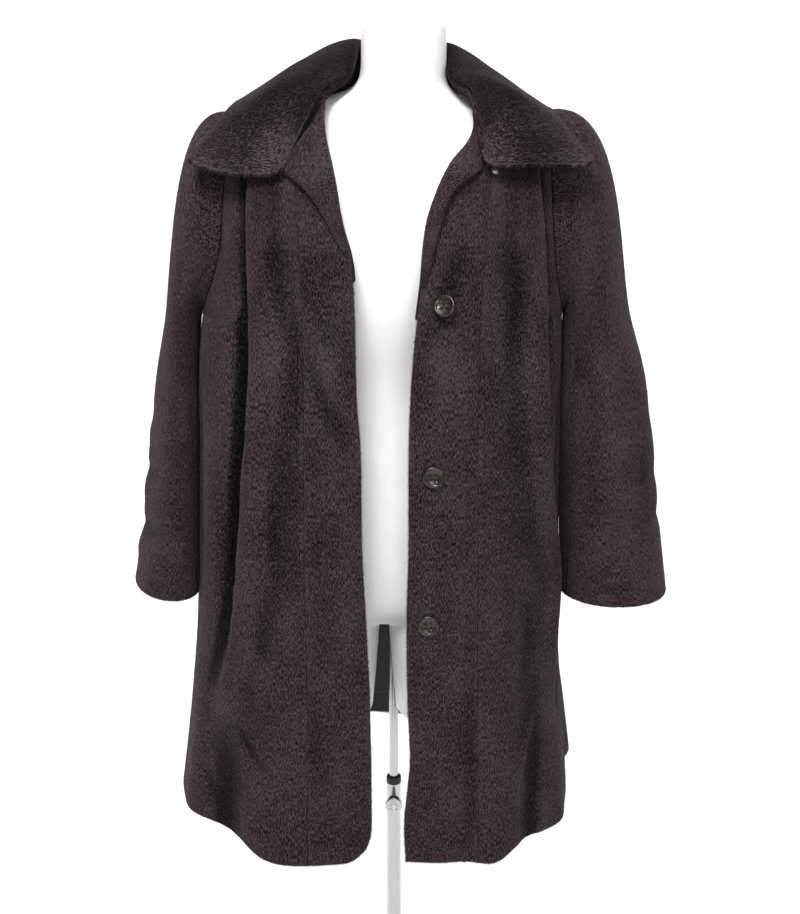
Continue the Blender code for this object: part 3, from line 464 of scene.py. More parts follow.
# %% [markdown]
# Cloth is laid as a grid whose vertices a formula moves. The stops of a grid crowd towards its
# edges, because a cut edge is turned under and sewn there: the outer face dips into the seam
# within a few millimetres. `Solidify` then gives the cloth its thickness inwards, with satin on the
# inner face, and the same grid of points later tells the nap where to grow.

# %% Cloth pieces
CLOTH_THICK = 0.0030
GRID_STEP = 0.0075
EDGE_STOPS = (0.0, 0.0012, 0.0030, 0.0056)
EDGE_DIP = 0.0012
EDGE_REACH = 0.0050


def stops(length, step=GRID_STEP):
    """Places from 0 to 1 along a length in metres, closer together near both ends."""
    inner = EDGE_STOPS[-1]
    count = max(int((length - 2 * inner) / step), 2)
    middle = [inner + (length - 2 * inner) * k / count for k in range(1, count)]
    places = list(EDGE_STOPS) + middle + [length - s for s in reversed(EDGE_STOPS)]
    return [p / length for p in places]


def lay(place, width, length, step=GRID_STEP):
    """An array of points[row][column] = place(u, v) on crowded stops."""
    us, vs = stops(width, step), stops(length, step)
    return np.array([[tuple(place(u, v)) for u in us] for v in vs])


def slopes(points):
    """Unit directions along the columns and the rows of a grid, and the normal between them."""
    across = np.gradient(points, axis=1)
    along = np.gradient(points, axis=0)
    normal = np.cross(across, along)
    return [a / np.maximum(np.linalg.norm(a, axis=2, keepdims=True), 1e-12) for a in (across, along, normal)]


def roll_edges(points, flip, sides="lrbt"):
    """Dip the outer face towards the cut edges named by l(eft), r(ight), b(ottom) and t(op)."""
    normal = slopes(points)[2] * (-1 if flip else 1)
    dip = np.zeros(points.shape[:2])
    across = np.concatenate([np.zeros((len(points), 1)),
                             np.linalg.norm(np.diff(points, axis=1), axis=2).cumsum(axis=1)], axis=1)
    along = np.concatenate([np.zeros((1, points.shape[1])),
                            np.linalg.norm(np.diff(points, axis=0), axis=2).cumsum(axis=0)], axis=0)
    far = {"l": across, "r": across[:, -1:] - across, "b": along, "t": along[-1:] - along}
    for side in sides:
        near = np.clip(1 - far[side] / EDGE_REACH, 0, 1)
        dip = np.maximum(dip, EDGE_DIP * (1 - np.sqrt(np.clip(1 - near**2, 0, 1))))
    return points - normal * dip[..., None]


# Reach in grid steps and gain of the depth that paints shade into the folds.
HOLLOW_REACH, HOLLOW_GAIN = (2, 5), 50


def fold_shade_depth(points, flip):
    """How deep each point lies between its neighbours, for painted shade in the folds: 0.42 on a ridge, 0.5
    flat, 1 deep in a fold.
    """
    normal = slopes(points)[2] * (-1 if flip else 1)
    depth = np.zeros(points.shape[:2])
    for reach in HOLLOW_REACH:
        for axis in (0, 1):
            pad = [(0, 0)] * 3
            pad[axis] = (reach, reach)
            wide = np.pad(points, pad, mode="reflect", reflect_type="odd")
            n = points.shape[axis]
            ahead, behind = wide.take(range(2 * reach, 2 * reach + n), axis), wide.take(range(n), axis)
            depth += (((ahead + behind) / 2 - points) * normal).sum(axis=2) / len(HOLLOW_REACH)
    return np.clip(0.5 + depth * HOLLOW_GAIN, 0.42, 1)


def grid_mesh(name, points, flip):
    """A grid moved onto the points, with a UV map in metres of cloth and, on every vertex, the fold depth
    that paints shade into the wool.
    """
    rows, cols = points.shape[:2]
    wide = np.linalg.norm(np.diff(points, axis=1), axis=2)
    tall = np.linalg.norm(np.diff(points, axis=0), axis=2)
    u = np.concatenate([[0], wide.mean(axis=0).cumsum()])
    v = np.concatenate([[0], tall.mean(axis=1).cumsum()])
    area = float((wide[:-1] * tall[:, :-1]).sum())
    bm = bmesh.new()
    uv = bm.loops.layers.uv.new("cloth")
    deep = bm.verts.layers.float.new("hollow")
    bmesh.ops.create_grid(bm, x_segments=cols - 1, y_segments=rows - 1, size=1)
    cell = {}
    for vert in bm.verts:
        i = round((vert.co.x + 1) / 2 * (cols - 1))
        j = round((vert.co.y + 1) / 2 * (rows - 1))
        cell[vert] = (i, j)
    for face in bm.faces:
        for loop in face.loops:
            i, j = cell[loop.vert]
            loop[uv].uv = (u[i], v[j])
    # The depth between neighbours, kept on each vertex for the painted shade in the folds.
    hollow = fold_shade_depth(points, flip)
    for vert, (i, j) in cell.items():
        vert.co = points[j, i]
        vert[deep] = hollow[j, i]
    if flip:
        bmesh.ops.reverse_faces(bm, faces=bm.faces)
    mesh = bpy.data.meshes.new(name)
    bm.to_mesh(mesh)
    bm.free()
    mesh.shade_smooth()
    return mesh, (float(u[-1]), float(v[-1])), area


def cloth(name, points, flip, nodes, inside=SATIN, thick=CLOTH_THICK, outside=WOOL):
    """One piece of cloth in place of its CAD node, returned with its measured flat size and area."""
    mesh, flat, area = grid_mesh(name, points, flip)
    piece = bpy.data.objects.new(name, mesh)
    bpy.context.collection.objects.link(piece)
    mesh.materials.append(outside)
    mesh.materials.append(inside)
    wall = piece.modifiers.new("thickness", "SOLIDIFY")
    wall.thickness, wall.offset = thick, -1
    wall.use_even_offset = False
    wall.material_offset = 1
    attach(piece, CLOTH_BODY)
    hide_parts(*nodes)
    print(f"{name}: {len(mesh.polygons)} faces, {flat[0]:.3f} by {flat[1]:.3f} m, {area:.3f} m2")
    return piece, flat, area


print("cloth is", CLOTH_THICK * 1000, "mm thick on a", GRID_STEP * 1000, "mm grid")

# %% [markdown]
# Nap is thousands of short hairs. Each is one thin triangle with its root on the cloth and its tip leaning
# the way the nap was brushed. They are joined into one mesh for each piece, and a number on every hair says
# how pale it is: a random paleness, with painted shade on top that darkens the hairs deep in the folds and
# pales those on the ridges a little. Hairs along a free edge point outwards, which makes the fuzzy outline
# that tells wool from felt.

# %% Nap
HAIRS_PER_M2 = 190_000
EDGE_HAIRS_PER_M = 8000
HAIR_LONG = (0.0020, 0.0042)
HAIR_WIDE = (0.00024, 0.00046)
HAIR_LIFT = (0.15, 0.60)


def unit(vectors):
    return vectors / np.maximum(np.linalg.norm(vectors, axis=-1, keepdims=True), 1e-12)


def hair_triangles(roots, lean, normal, draw):
    """Three corners for each hair, from its root, its brushed direction and the cloth's normal."""
    n = len(roots)
    side = unit(np.cross(lean, normal))
    lift = draw.uniform(*HAIR_LIFT, (n, 1))
    stray = draw.normal(0, 0.38, (n, 1))
    way = unit(lean + side * stray + normal * lift)
    long = draw.uniform(*HAIR_LONG, (n, 1))
    wide = draw.uniform(*HAIR_WIDE, (n, 1))
    twist = draw.uniform(-0.9, 0.9, (n, 1))
    base = unit(side + normal * twist) * wide / 2
    return np.stack([roots - base, roots + base, roots + way * long], axis=1)


def nap(name, points, flip, brushed, free="", seed=0, dense=1.0, both=0.0):
    """Hairs for a cloth piece: brushed is the grid direction that they lie along, such as -v."""
    draw = np.random.default_rng(seed)
    across, along, normal = slopes(points)
    normal = normal * (-1 if flip else 1)
    lean = {"+v": along, "-v": -along, "+u": across, "-u": -across}[brushed]
    wide = np.linalg.norm(np.diff(points, axis=1), axis=2)[:-1]
    tall = np.linalg.norm(np.diff(points, axis=0), axis=2)[:, :-1]
    area = (wide * tall).ravel()
    count = int(area.sum() * HAIRS_PER_M2 * dense)
    cells = draw.choice(len(area), count, p=area / area.sum())
    j, i = np.divmod(cells, wide.shape[1])
    a, b = draw.random((2, count, 1))

    def at(values):
        return ((values[j, i] * (1 - a) + values[j, i + 1] * a) * (1 - b)
                + (values[j + 1, i] * (1 - a) + values[j + 1, i + 1] * a) * b)

    roots, leans, normals = at(points), unit(at(lean)), unit(at(normal))
    under = draw.random((count, 1)) < both
    roots = np.where(under, roots - normals * CLOTH_THICK * 1.3, roots)
    normals = np.where(under, -normals, normals)
    hairs = [hair_triangles(roots, leans, normals, draw)]
    edges = {"l": (points[:, 0], -across[:, 0], lean[:, 0], normal[:, 0]),
             "r": (points[:, -1], across[:, -1], lean[:, -1], normal[:, -1]),
             "b": (points[0], -along[0], lean[0], normal[0]),
             "t": (points[-1], along[-1], lean[-1], normal[-1])}
    for side in free:
        line, out, brush, up = edges[side]
        steps = np.linalg.norm(np.diff(line, axis=0), axis=1)
        n = int(steps.sum() * EDGE_HAIRS_PER_M)
        k = draw.choice(len(steps), n, p=steps / steps.sum())
        t = draw.random((n, 1))
        mix = [values[k] * (1 - t) + values[k + 1] * t for values in (line, out, brush, up)]
        roots = mix[0] - mix[3] * draw.uniform(0, CLOTH_THICK, (n, 1))
        outwards = unit(mix[1] * draw.uniform(0.2, 0.9, (n, 1)) + mix[2] * draw.uniform(0.3, 1.0, (n, 1)))
        hairs.append(hair_triangles(roots, outwards, unit(mix[3] + mix[1] * 0.4), draw))
    deep = at(fold_shade_depth(points, flip)[..., None])[:, 0]
    corners = np.concatenate(hairs)
    mesh = bpy.data.meshes.new(name)
    mesh.from_pydata(corners.reshape(-1, 3), [], np.arange(len(corners) * 3).reshape(-1, 3))
    shade = draw.random(len(corners)) ** 2.2
    # Painted shade: hairs rooted deep in a fold are darkened, those on a ridge paled a little.
    shade[:count] *= np.clip(1.5 - deep, 0.4, 1.2)
    mesh.attributes.new("shade", "FLOAT", "POINT").data.foreach_set("value", np.repeat(shade, 3))
    mesh.materials.append(HAIR)
    mesh.shade_smooth()
    piece = bpy.data.objects.new(name, mesh)
    bpy.context.collection.objects.link(piece)
    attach(piece, CLOTH_BODY)
    print(f"{name}: {len(corners)} hairs")
    return piece


print("hairs are", [round(v * 1000, 1) for v in HAIR_LONG], "mm long")

# %% [markdown]
# The fronts, side fronts and backs are cut on the same surface. Their upper edges stop at the
# armhole, which opens from the side line as the rows climb, and the backs also stop at the
# neckline behind the neck.

# %% Panels
ARM_START, ARM_FULL = row_at(1.170), row_at(1.262)
PANEL_LENGTH = 0.97


def armhole_turn(r):
    q = min(max((r - ARM_START) / (ARM_FULL - ARM_START), 0), 1)
    return ARMHOLE_TURN * (1 - (1 - q) ** 2.2) ** (1 / 2.2)


def edge_turn(table, side, r):
    z = base_point(side, 0.3, r).z
    for _ in range(4):
        turn = turn_of_x(side, table.read("x", z), r)
        z = base_point(side, turn, r).z
    return turn


def neck_row(side, turn, r):
    if r <= 1:
        return r
    x = base_point(side, turn, 1).x - NECK_X
    if abs(x) >= NECK_HALF:
        return r
    deep = NECK_DEEP * math.sqrt(1 - (x / NECK_HALF) ** 2)
    full = base_point(side, turn, 1).y - SHOULDER_Y
    top = math.acos(min(deep / full, 1) ** (1 / BACK_ARCH)) * 2 / math.pi
    return 1 + (r - 1) * top


def panel_row(v):
    """Rows for even steps of cloth: the skirt and body are 0.75 m, the arch about 0.22 m."""
    low = 0.75 / PANEL_LENGTH
    return v / low if v < low else 1 + (v - low) / (1 - low)


@lru_cache(maxsize=None)
def panel_ends(side, r):
    edge = edge_turn(EDGE[side], side, r)
    princess = max(edge_turn(PRINCESS[side], side, r), edge + 0.03)
    opened = armhole_turn(r)
    return edge, princess, math.pi / 2 - opened, math.pi / 2 + opened


HEM = {
    # degrees round from the middle front, and the hem's rise there
    RIGHT: Table("turn rise", [(0, 3), (8, 1), (20, -8), (30, -5), (39, 8), (50, 17), (70, 17), (90, 8),
                               (120, 0),
                            (160, 8), (174, 13), (180, 4)]),
    LEFT: Table("turn rise", [(0, 4), (17, 0), (27, -8), (37, 0), (48, 2), (160, 0), (180, 4)])}
HEM_REACH = 0.16
CORNER_WIDE, CORNER_TALL = 0.030, 0.020


def hem_row(side, turn, r):
    """Rows near the hem are shifted, so that the hem dips and rises round the skirt."""
    rise = HEM[side].read("rise", math.degrees(turn) * MM)
    return r + rise / (ARCH_Z - HEM_Z) * max(1 - r / HEM_REACH, 0) ** 2


def front_place(side):
    def place(u, v):
        r = panel_row(v)
        edge, princess, _, _ = panel_ends(side, r)
        turn = edge + (princess - edge) * u
        r = hem_row(side, turn, r)
        if side == RIGHT:
            near = max(1 - u * 0.075 / CORNER_WIDE, 0) ** 2.4
            r += near * CORNER_TALL / (ARCH_Z - HEM_Z) * max(1 - r / 0.10, 0) ** 2
        return body_point(side, turn, r)
    return place


def side_front_place(side):
    def place(u, v):
        r = panel_row(v)
        _, princess, end, _ = panel_ends(side, r)
        turn = princess + (end - princess) * u
        return body_point(side, turn, hem_row(side, turn, r))
    return place


def back_place(side):
    def place(u, v):
        r = panel_row(v)
        start = panel_ends(side, r)[3]
        turn = start + (math.pi - start) * u
        return body_point(side, turn, neck_row(side, turn, hem_row(side, turn, r)))
    return place


PANELS = {
    # name: the place on the body, width, free edges of the nap
    "front": (front_place, 0.10, "lb"),
    "side_front": (side_front_place, 0.20, "b"),
    "back": (back_place, 0.32, "b"),
}
SHEETS = []
for side in (RIGHT, LEFT):
    for number, (label, (place, width, free)) in enumerate(PANELS.items()):
        name = f"{label}_{NAME[side]}"
        step = 0.0055 if label == "side_front" else GRID_STEP
        points = lay(place(side), width, PANEL_LENGTH, step)
        flip = side == RIGHT
        points = roll_edges(points, flip)
        piece, flat, area = cloth(f"{name}_cloth", points, flip, [name])
        hairs = nap(f"{name}_nap", points, flip, "-v", free, seed=10 + number + 5 * side)
        SHEETS.append((piece, flat, area, hairs))
print(len(SHEETS), "panels")

# %% [markdown]
# A sleeve is a tube that hangs free from the elbow down and is eased into the armhole above. Its
# cap leaves the body almost level at the shoulder and steeply under the arm. Cross creases sit
# where the arm would bend, and the cuff flares a little.

# %% Sleeves
SLEEVE = {
    RIGHT: Table("z x y thin wide turn", [
        (1150, 261, -34, 22, 66, 60), (1087, 269.5, -33, 27, 66, 150), (1000, 278.5, -30, 31, 67, 220),
        (920, 286, -27, 34, 67, 280), (860, 292, -25, 36, 69, 340), (797, 299, -20, 41, 72, 400)]),
    LEFT: Table("z x y thin wide turn", [
        (1150, 253, -37, 43, 62, 180), (1087, 261, -42, 53, 61, 240), (1000, 269.5, -44, 59, 62, 300),
        (920, 275.5, -43, 63, 63, 350), (860, 281, -42, 66, 66, 450), (797, 287, -38, 70, 71, 520)])}
CREASES = {
    # height, degrees round the tube, rise, reach up and reach round
    RIGHT: [(1010, 60, 4, 14, 60), (958, 30, -4, 10, 70), (930, 45, 4, 12, 60), (880, 20, -5, 12, 80),
            (850, 0, 3, 14, 80), (1090, 100, -4, 22, 50), (1030, -60, -4, 16, 60), (940, -90, 4, 16, 50),
            (985, 80, -1.8, 7, 30), (905, 70, 1.6, 6, 34), (838, 60, -1.6, 7, 40), (1120, 60, 1.8, 10, 26)],
    LEFT: [(1060, 88, 5, 150, 16), (960, 40, -4, 12, 60), (1000, 70, 3, 14, 50), (1100, 110, -5, 40, 22),
           (905, 20, -4, 12, 60), (1040, -70, -4, 18, 60), (930, -100, 4, 16, 50),
           (1025, 50, -1.8, 8, 32), (935, 66, 1.8, 7, 36), (872, 80, -1.8, 8, 36), (845, 40, 1.6, 7, 30)]}
ARM_HEIGHTS = (1.170, 1.184, 1.204, 1.228, 1.250)
ARM_ROWS = [row_at(z) for z in ARM_HEIGHTS] + [1 + k / 6 for k in range(1, 7)]
RING = len(ARM_ROWS) - 1
SLEEVE_TOP, CUFF_Z = 1.150, 0.797
CAP_SHARE = 0.40


@lru_cache(maxsize=None)
def armhole_point(side, k):
    """A point of the armhole: k is 0 at the armpit and RING on the shoulder, negative up the back."""
    k = k - 2 * RING if k > RING else k
    r = float(np.interp(abs(k), range(RING + 1), ARM_ROWS))
    opened = armhole_turn(r)
    return body_point(side, math.pi / 2 - opened if k >= 0 else math.pi / 2 + opened, r)


def tube_point(side, round_turn, z):
    t = SLEEVE[side]
    out, ahead = t.read("thin", z) * math.cos(round_turn), t.read("wide", z) * math.sin(round_turn)
    swing = t.read("turn", z)
    middle = Vector((side * t.read("x", z), t.read("y", z), z))
    p = middle + Vector((side * (out * math.cos(swing) - ahead * math.sin(swing)),
                         -out * math.sin(swing) - ahead * math.cos(swing), 0))
    lift = 0.0
    for height, place, rise, tall, broad in CREASES[side]:
        away = (math.degrees(round_turn) - place + 180) % 360 - 180
        lift += rise * MM * math.exp(-((z - height * MM) / (tall * MM)) ** 2 - (away / broad) ** 2)
    return p + (p - middle).normalized() * lift


# How much the head of each sleeve swells beside the seam; the left one is the fuller.
CAP = {RIGHT: 0.32, LEFT: 0.57}


def sleeve_point(side, k, v):
    round_turn = math.pi * (1 - k / RING)
    if v >= CAP_SHARE:
        down = (v - CAP_SHARE) / (1 - CAP_SHARE)
        return tube_point(side, round_turn, SLEEVE_TOP - (SLEEVE_TOP - CUFF_Z) * down)
    t = v / CAP_SHARE
    a, b = armhole_point(side, k), tube_point(side, round_turn, SLEEVE_TOP)
    reach, top = (b - a).length, abs(k if k <= RING else k - 2 * RING) / RING
    start = Vector((side, 0, 0.22 * top)).normalized() * reach * (0.55 + CAP[side] * top)
    end = (tube_point(side, round_turn, SLEEVE_TOP - 0.01) - b).normalized() * reach * (0.9 - 0.1 * top)
    return (a * (2 * t**3 - 3 * t**2 + 1) + start * (t**3 - 2 * t**2 + t)
            + b * (3 * t**2 - 2 * t**3) + end * (t**3 - t**2))


SEAM_PLACE = 3
SLEEVES = {"upper_sleeve": (SEAM_PLACE, 2 * RING - SEAM_PLACE, 0.25),
           "under_sleeve": (-SEAM_PLACE, SEAM_PLACE, 0.12)}
for side in (RIGHT, LEFT):
    for number, (label, (first, last, width)) in enumerate(SLEEVES.items()):
        name = f"{label}_{NAME[side]}"
        points = lay(lambda u, v: sleeve_point(side, first + (last - first) * u, v), width, 0.58)
        flip = side == LEFT
        points = roll_edges(points, flip)
        piece, flat, area = cloth(f"{name}_cloth", points, flip, [name])
        hairs = nap(f"{name}_nap", points, flip, "+v", "t", seed=30 + number + 5 * side)
        SHEETS.append((piece, flat, area, hairs))
print("sleeves are set in")

# %% [markdown]
# The collar is one doubled piece that stands up from the neckline, rolls over and falls wide on
# the shoulders. Ribs from the middle back to the front say where it rolls and where its rim lies;
# a smooth curve through their knots fills in the rest. Its two front points are rounded by
# squeezing the corner of the grid into a quarter circle.

# %% Collar
RIBS = {
    # where it rolls (x, y, z), its rim (x, y, z) and how much the fall swells
    RIGHT: [(8, 50, 1476, 8, 124, 1362, 13), (-28, 38, 1479, -84, 108, 1368, 14),
            (-43, 8, 1480, -150, 62, 1394, 18), (-46, -22, 1465, -179, 5, 1412, 16),
            (-51, -48, 1448, -194, -42, 1403, 15), (-64, -66, 1436, -211, -68, 1380, 14)],
    LEFT: [(8, 50, 1476, 8, 124, 1362, 13), (47, 40, 1478, 98, 108, 1366, 14),
           (67, 12, 1476, 160, 60, 1386, 12), (70, -18, 1462, 182, 5, 1402, 10),
           (68, -46, 1446, 191, -42, 1399, 11), (76, -65, 1434, 203, -66, 1383, 13)]}
FRONT_END = {
    RIGHT: [(-77, -79, 1428), (-94, -132, 1380), (-126, -150, 1338), (-178, -145, 1334), (-241, -111, 1345)],
    LEFT: [(90, -80, 1427), (97, -134, 1381), (106, -156, 1348), (166, -149, 1344), (237, -111, 1341)]}
COLLAR_AXIS = Vector((NECK_X, -0.018, 0))
SEAM_TURN = (0, 36, 62, 82)
SEAM_LIFT = 0.0019
COLLAR_THICK = 0.0040
POINT_S, POINT_T = 0.965, 0.93


def blend(p0, p1, p2, p3, u):
    """From p1 to p2 along a smooth curve that doesn't loop where the knots lie unevenly."""
    d0, d1, d2 = (max((b - a).length, 1e-5) ** 0.5 for a, b in ((p0, p1), (p1, p2), (p2, p3)))
    m1 = ((p1 - p0) / d0 - (p2 - p0) / (d0 + d1) + (p2 - p1) / d1) * d1
    m2 = ((p2 - p1) / d1 - (p3 - p1) / (d1 + d2) + (p3 - p2) / d2) * d1
    return (p1 * (2 * u**3 - 3 * u**2 + 1) + m1 * (u**3 - 2 * u**2 + u)
            + p2 * (3 * u**2 - 2 * u**3) + m2 * (u**3 - u**2))


def curve(knots, t):
    n = len(knots) - 1
    i = min(int(t * n), n - 1)
    before = knots[i - 1] if i else knots[0] * 2 - knots[1]
    after = knots[i + 2] if i + 2 <= n else knots[n] * 2 - knots[n - 1]
    return blend(before, knots[i], knots[i + 1], after, t * n - i)


def neckline(x):
    side = LEFT if x >= 0 else RIGHT
    turn = turn_of_x(side, abs(x), 1, BACK)
    return body_point(side, turn, neck_row(side, turn, 2), False)


def rib_knots(side):
    """Knots for each rib: neck seam, roll, three on the fall, rim."""
    ribs = []
    for i, (rx, ry, rz, ex, ey, ez, swell) in enumerate(RIBS[side]):
        roll, rim = Vector((rx, ry, rz)) * MM, Vector((ex, ey, ez)) * MM
        out = Vector((roll.x - COLLAR_AXIS.x, roll.y - COLLAR_AXIS.y, 0)).normalized()
        push = (Vector((0, 0, 1)) + out * 0.5).normalized() * swell * MM
        if i < len(SEAM_TURN):
            across = NECK_X + side * NECK_HALF * math.sin(math.radians(SEAM_TURN[i]))
            seam = neckline(across) + Vector((0, 0, SEAM_LIFT)) + out * 0.0005
        else:
            seam = roll + out * 0.005 - Vector((0, 0, 0.009))
        fall = [roll.lerp(rim, t) + push * lift for t, lift in ((0.18, 0.85), (0.45, 1.0), (0.74, 0.50))]
        ribs.append([seam, roll] + fall + [rim])
    end = [Vector(p) * MM for p in FRONT_END[side]]
    ribs.append([end[0] + Vector((side * 0.004, 0.004, -0.010))] + end)
    return ribs


KNOTS = {side: rib_knots(side) for side in (RIGHT, LEFT)}


@lru_cache(maxsize=None)
def collar_rib(s):
    side = LEFT if s >= 0 else RIGHT
    ribs, mirror = KNOTS[side], KNOTS[-side]
    n = len(ribs) - 1
    u = min(abs(s), 1) * n
    i = min(int(u), n - 1)
    knots = []
    for k in range(len(ribs[0])):
        p1, p2 = ribs[i][k], ribs[i + 1][k]
        p0 = ribs[i - 1][k] if i else mirror[1][k]
        p3 = ribs[i + 2][k] if i + 2 <= n else p2 * 2 - p1
        knots.append(blend(p0, p1, p2, p3, u - i))
    return knots


def collar_point(u, v):
    s, t = 2 * u - 1, v
    a, b = (abs(s) - POINT_S) / (1 - POINT_S), (t - POINT_T) / (1 - POINT_T)
    if a > 0 and b > 0:                              # round the two front points
        a, b = a * math.sqrt(1 - b * b / 2), b * math.sqrt(1 - a * a / 2)
        s = math.copysign(POINT_S + a * (1 - POINT_S), s)
        t = POINT_T + b * (1 - POINT_T)
    return curve(collar_rib(round(s, 6)), min(max(t, 0), 1))


points = lay(collar_point, 0.86, 0.21, 0.0060)
points = roll_edges(points, True, "lrt")
collar, collar_flat, collar_area = cloth("collar_cloth", points, True, ["collar"], WOOL, COLLAR_THICK)
collar_nap = nap("collar_nap", points, True, "+v", "lrt", seed=50, both=0.3)
SHEETS.append((collar, collar_flat, collar_area, collar_nap))

# %% [markdown]
# Below the collar the front edges turn back as soft lapels. Each starts on the collar's own front
# edge, where the two are sewn together, and its ribs then fan down the front's edge: they start
# inside it, roll round it and lie on the front, until the lapel narrows to nothing at the break.

# %% Lapels
LAPEL = {
    # the height where each rib leaves the front's edge, and its free end (x, z) on the front
    RIGHT: [(1413, 121, 1336), (1396, 116, 1333), (1374, 109, 1328), (1350, 99, 1320), (1323, 87, 1307),
            (1299, 76, 1290), (1277, 66, 1271), (1256, 56, 1252), (1238, 49, 1236), (1222, 45.5, 1221)],
    LEFT: [(1409, 104, 1346), (1390, 102, 1343), (1370, 98, 1339), (1350, 89, 1333), (1330, 77, 1324),
           (1312, 66, 1311), (1290, 57, 1290), (1266, 50, 1265), (1244, 45, 1243),
           (1222, 40, 1220), (1200, 34, 1199), (1180, 29.5, 1179)]}
SEWN = (0.05, 0.13, 0.20, 0.333, 0.467, 0.60)


def lapel_knots(side):
    """Knots for each rib: inside the front's edge, round the roll, on the front, at the free edge."""
    ribs = [[curve(collar_rib(side), v) for v in SEWN]]
    for to_end, (z, free_x, free_z) in zip(reversed(range(len(LAPEL[side]))), LAPEL[side]):
        z, free_x, free_z = z * MM, free_x * MM, free_z * MM
        edge = EDGE[side].read("x", z)
        broad = free_x - edge

        def at(share, lift, inset=0.0):
            cell = (side, *spot(side, edge - inset + broad * share, z + (free_z - z) * share))
            return body_point(*cell) + body_normal(*cell) * (lift - 0.0034 * (1 - full))

        full = min(broad / 0.020, 1) ** 0.6 * min(to_end / 3, 1)
        ribs.append([at(0, -0.0030, 0.0030), at(0, 0.0040 * full - 0.0014, 0.0048 * full),
                     at(0, 0.0102 * full - 0.0006, 0.0014 * full),
                     at(0.34, (0.0112 + 0.07 * broad) * full - 0.0002),
                     at(0.70, (0.0124 + 0.07 * broad) * full - 0.0002), at(1, 0.0108 * full - 0.0004)])
    return ribs


for side in (RIGHT, LEFT):
    ribs = lapel_knots(side)

    @lru_cache(maxsize=None)
    def lapel_rib(s, ribs=tuple(map(tuple, [[tuple(p) for p in rib] for rib in ribs]))):
        return [curve([Vector(rib[k]) for rib in ribs], s) for k in range(6)]

    points = lay(lambda u, v: curve(lapel_rib(u), v), 0.19, 0.075, 0.0045)
    name = f"lapel_{NAME[side]}"
    points = roll_edges(points, side == RIGHT, "lrt")
    piece, flat, area = cloth(f"{name}_cloth", points, side == RIGHT, [name], WOOL, 0.0026)
    hairs = nap(f"{name}_nap", points, side == RIGHT, "+u", "rt", seed=60 + side)
    SHEETS.append((piece, flat, area, hairs))

# %% [markdown]
# The satin lining shows in one place only, inside the back skirt between the two fronts. It is
# left a little slack, so that it ripples.

# %% Lining
LINING_THICK = 0.0010
LINING_INSET = 0.0026 + 0.0003 + 0.0003
LINING_LOW, LINING_HIGH = row_at(0.545), row_at(0.860)


def lining_place(side):
    def place(u, v):
        turn = math.pi / 2 + (math.pi / 2 - 0.004) * u
        r = LINING_LOW + (LINING_HIGH - LINING_LOW) * v
        p = body_point(side, turn, r, False) - body_normal(side, turn, r) * LINING_INSET
        return p
    return place


for side in (RIGHT, LEFT):
    name = f"lining_{NAME[side]}"
    points = lay(lining_place(side), 0.36, 0.32, 0.009)
    piece, flat, area = cloth(f"{name}_satin", points, side == RIGHT, [name], SATIN, LINING_THICK, SATIN)
    SHEETS.append((piece, flat, area, None))

# %% [markdown]
# Every sheet's cut size is printed. Ease at the seams, the shaping of the cap and the hidden turnings make
# the cut a little larger than what shows.

EASE = 1.03
for piece, (width, length), area, hairs in SHEETS:
    cut = (width * EASE, length * EASE)
    min(area * EASE, cut[0] * cut[1])
    print(f"{piece.name}: cut {cut[0]:.3f} by {cut[1]:.3f} m")

# %% [markdown]
# The coat buttons are turned from dark horn: a raised rim, a dished middle and four holes. Horn is
# layered, so its colour runs in soft wavy bands. Thread fills the holes in two short bars.


# %% Horn, thread and metal finishes
def horn_finish():
    horn = Finish("marbled_horn", Coat_Weight=0.35, Coat_Roughness=0.08, Specular_IOR_Level=0.30)
    place = horn.object_place()
    bands = horn.noise(place, (0.006, 0.020, 0.0035), 3.0, 0.55)
    grain = horn.noise(place, 0.0012, 2.0)
    colour = horn.ramp(bands * 0.85 + grain * 0.15, (0.36, (0.0040, 0.0026, 0.0022)),
                       (0.52, (0.011, 0.0072, 0.0058)),
                       (0.64, (0.030, 0.021, 0.017)), (0.78, (0.075, 0.058, 0.048)))
    return horn.feed(Base_Color=colour, Roughness=0.30 + grain * 0.15,
                     Normal=horn.bump(grain, 0.0002, 0.3))


def thread_finish():
    thread = Finish("dark_thread", Roughness=0.8)
    twist = thread.noise(thread.object_place(), (0.0004, 0.0004, 0.0012), 1.0)
    colour = thread.ramp(twist, (0.3, (0.008, 0.007, 0.008)), (0.7, (0.035, 0.032, 0.034)))
    return thread.feed(Base_Color=colour, Normal=thread.bump(twist, 0.0004))


def metal_finish(name, colour, rough, streak, metallic=1.0):
    metal = Finish(name, Metallic=metallic)
    streaks = metal.noise(metal.object_place(), streak, 2.0)
    shade = metal.ramp(streaks, (0.3, tuple(c * 0.86 for c in colour)), (0.7, colour))
    return metal.feed(Base_Color=shade, Roughness=rough * 0.8 + streaks * rough * 0.5,
                      Normal=metal.bump(streaks, 0.0001, 0.15))


HORN = horn_finish()
THREAD = thread_finish()
CHROME = metal_finish("polished_chrome", (0.48, 0.47, 0.47), 0.24, (0.0016, 0.0016, 0.05))
STUD_STEEL = metal_finish("stud_steel", (0.55, 0.55, 0.57), 0.34, 0.002)
BASE_STEEL = metal_finish("brushed_base", (0.60, 0.61, 0.63), 0.34, (0.12, 0.0012, 0.01))
print("hard finishes:", HORN.name, THREAD.name, CHROME.name, BASE_STEEL.name)

# %% Turned pieces
ROUND_STEPS = 72


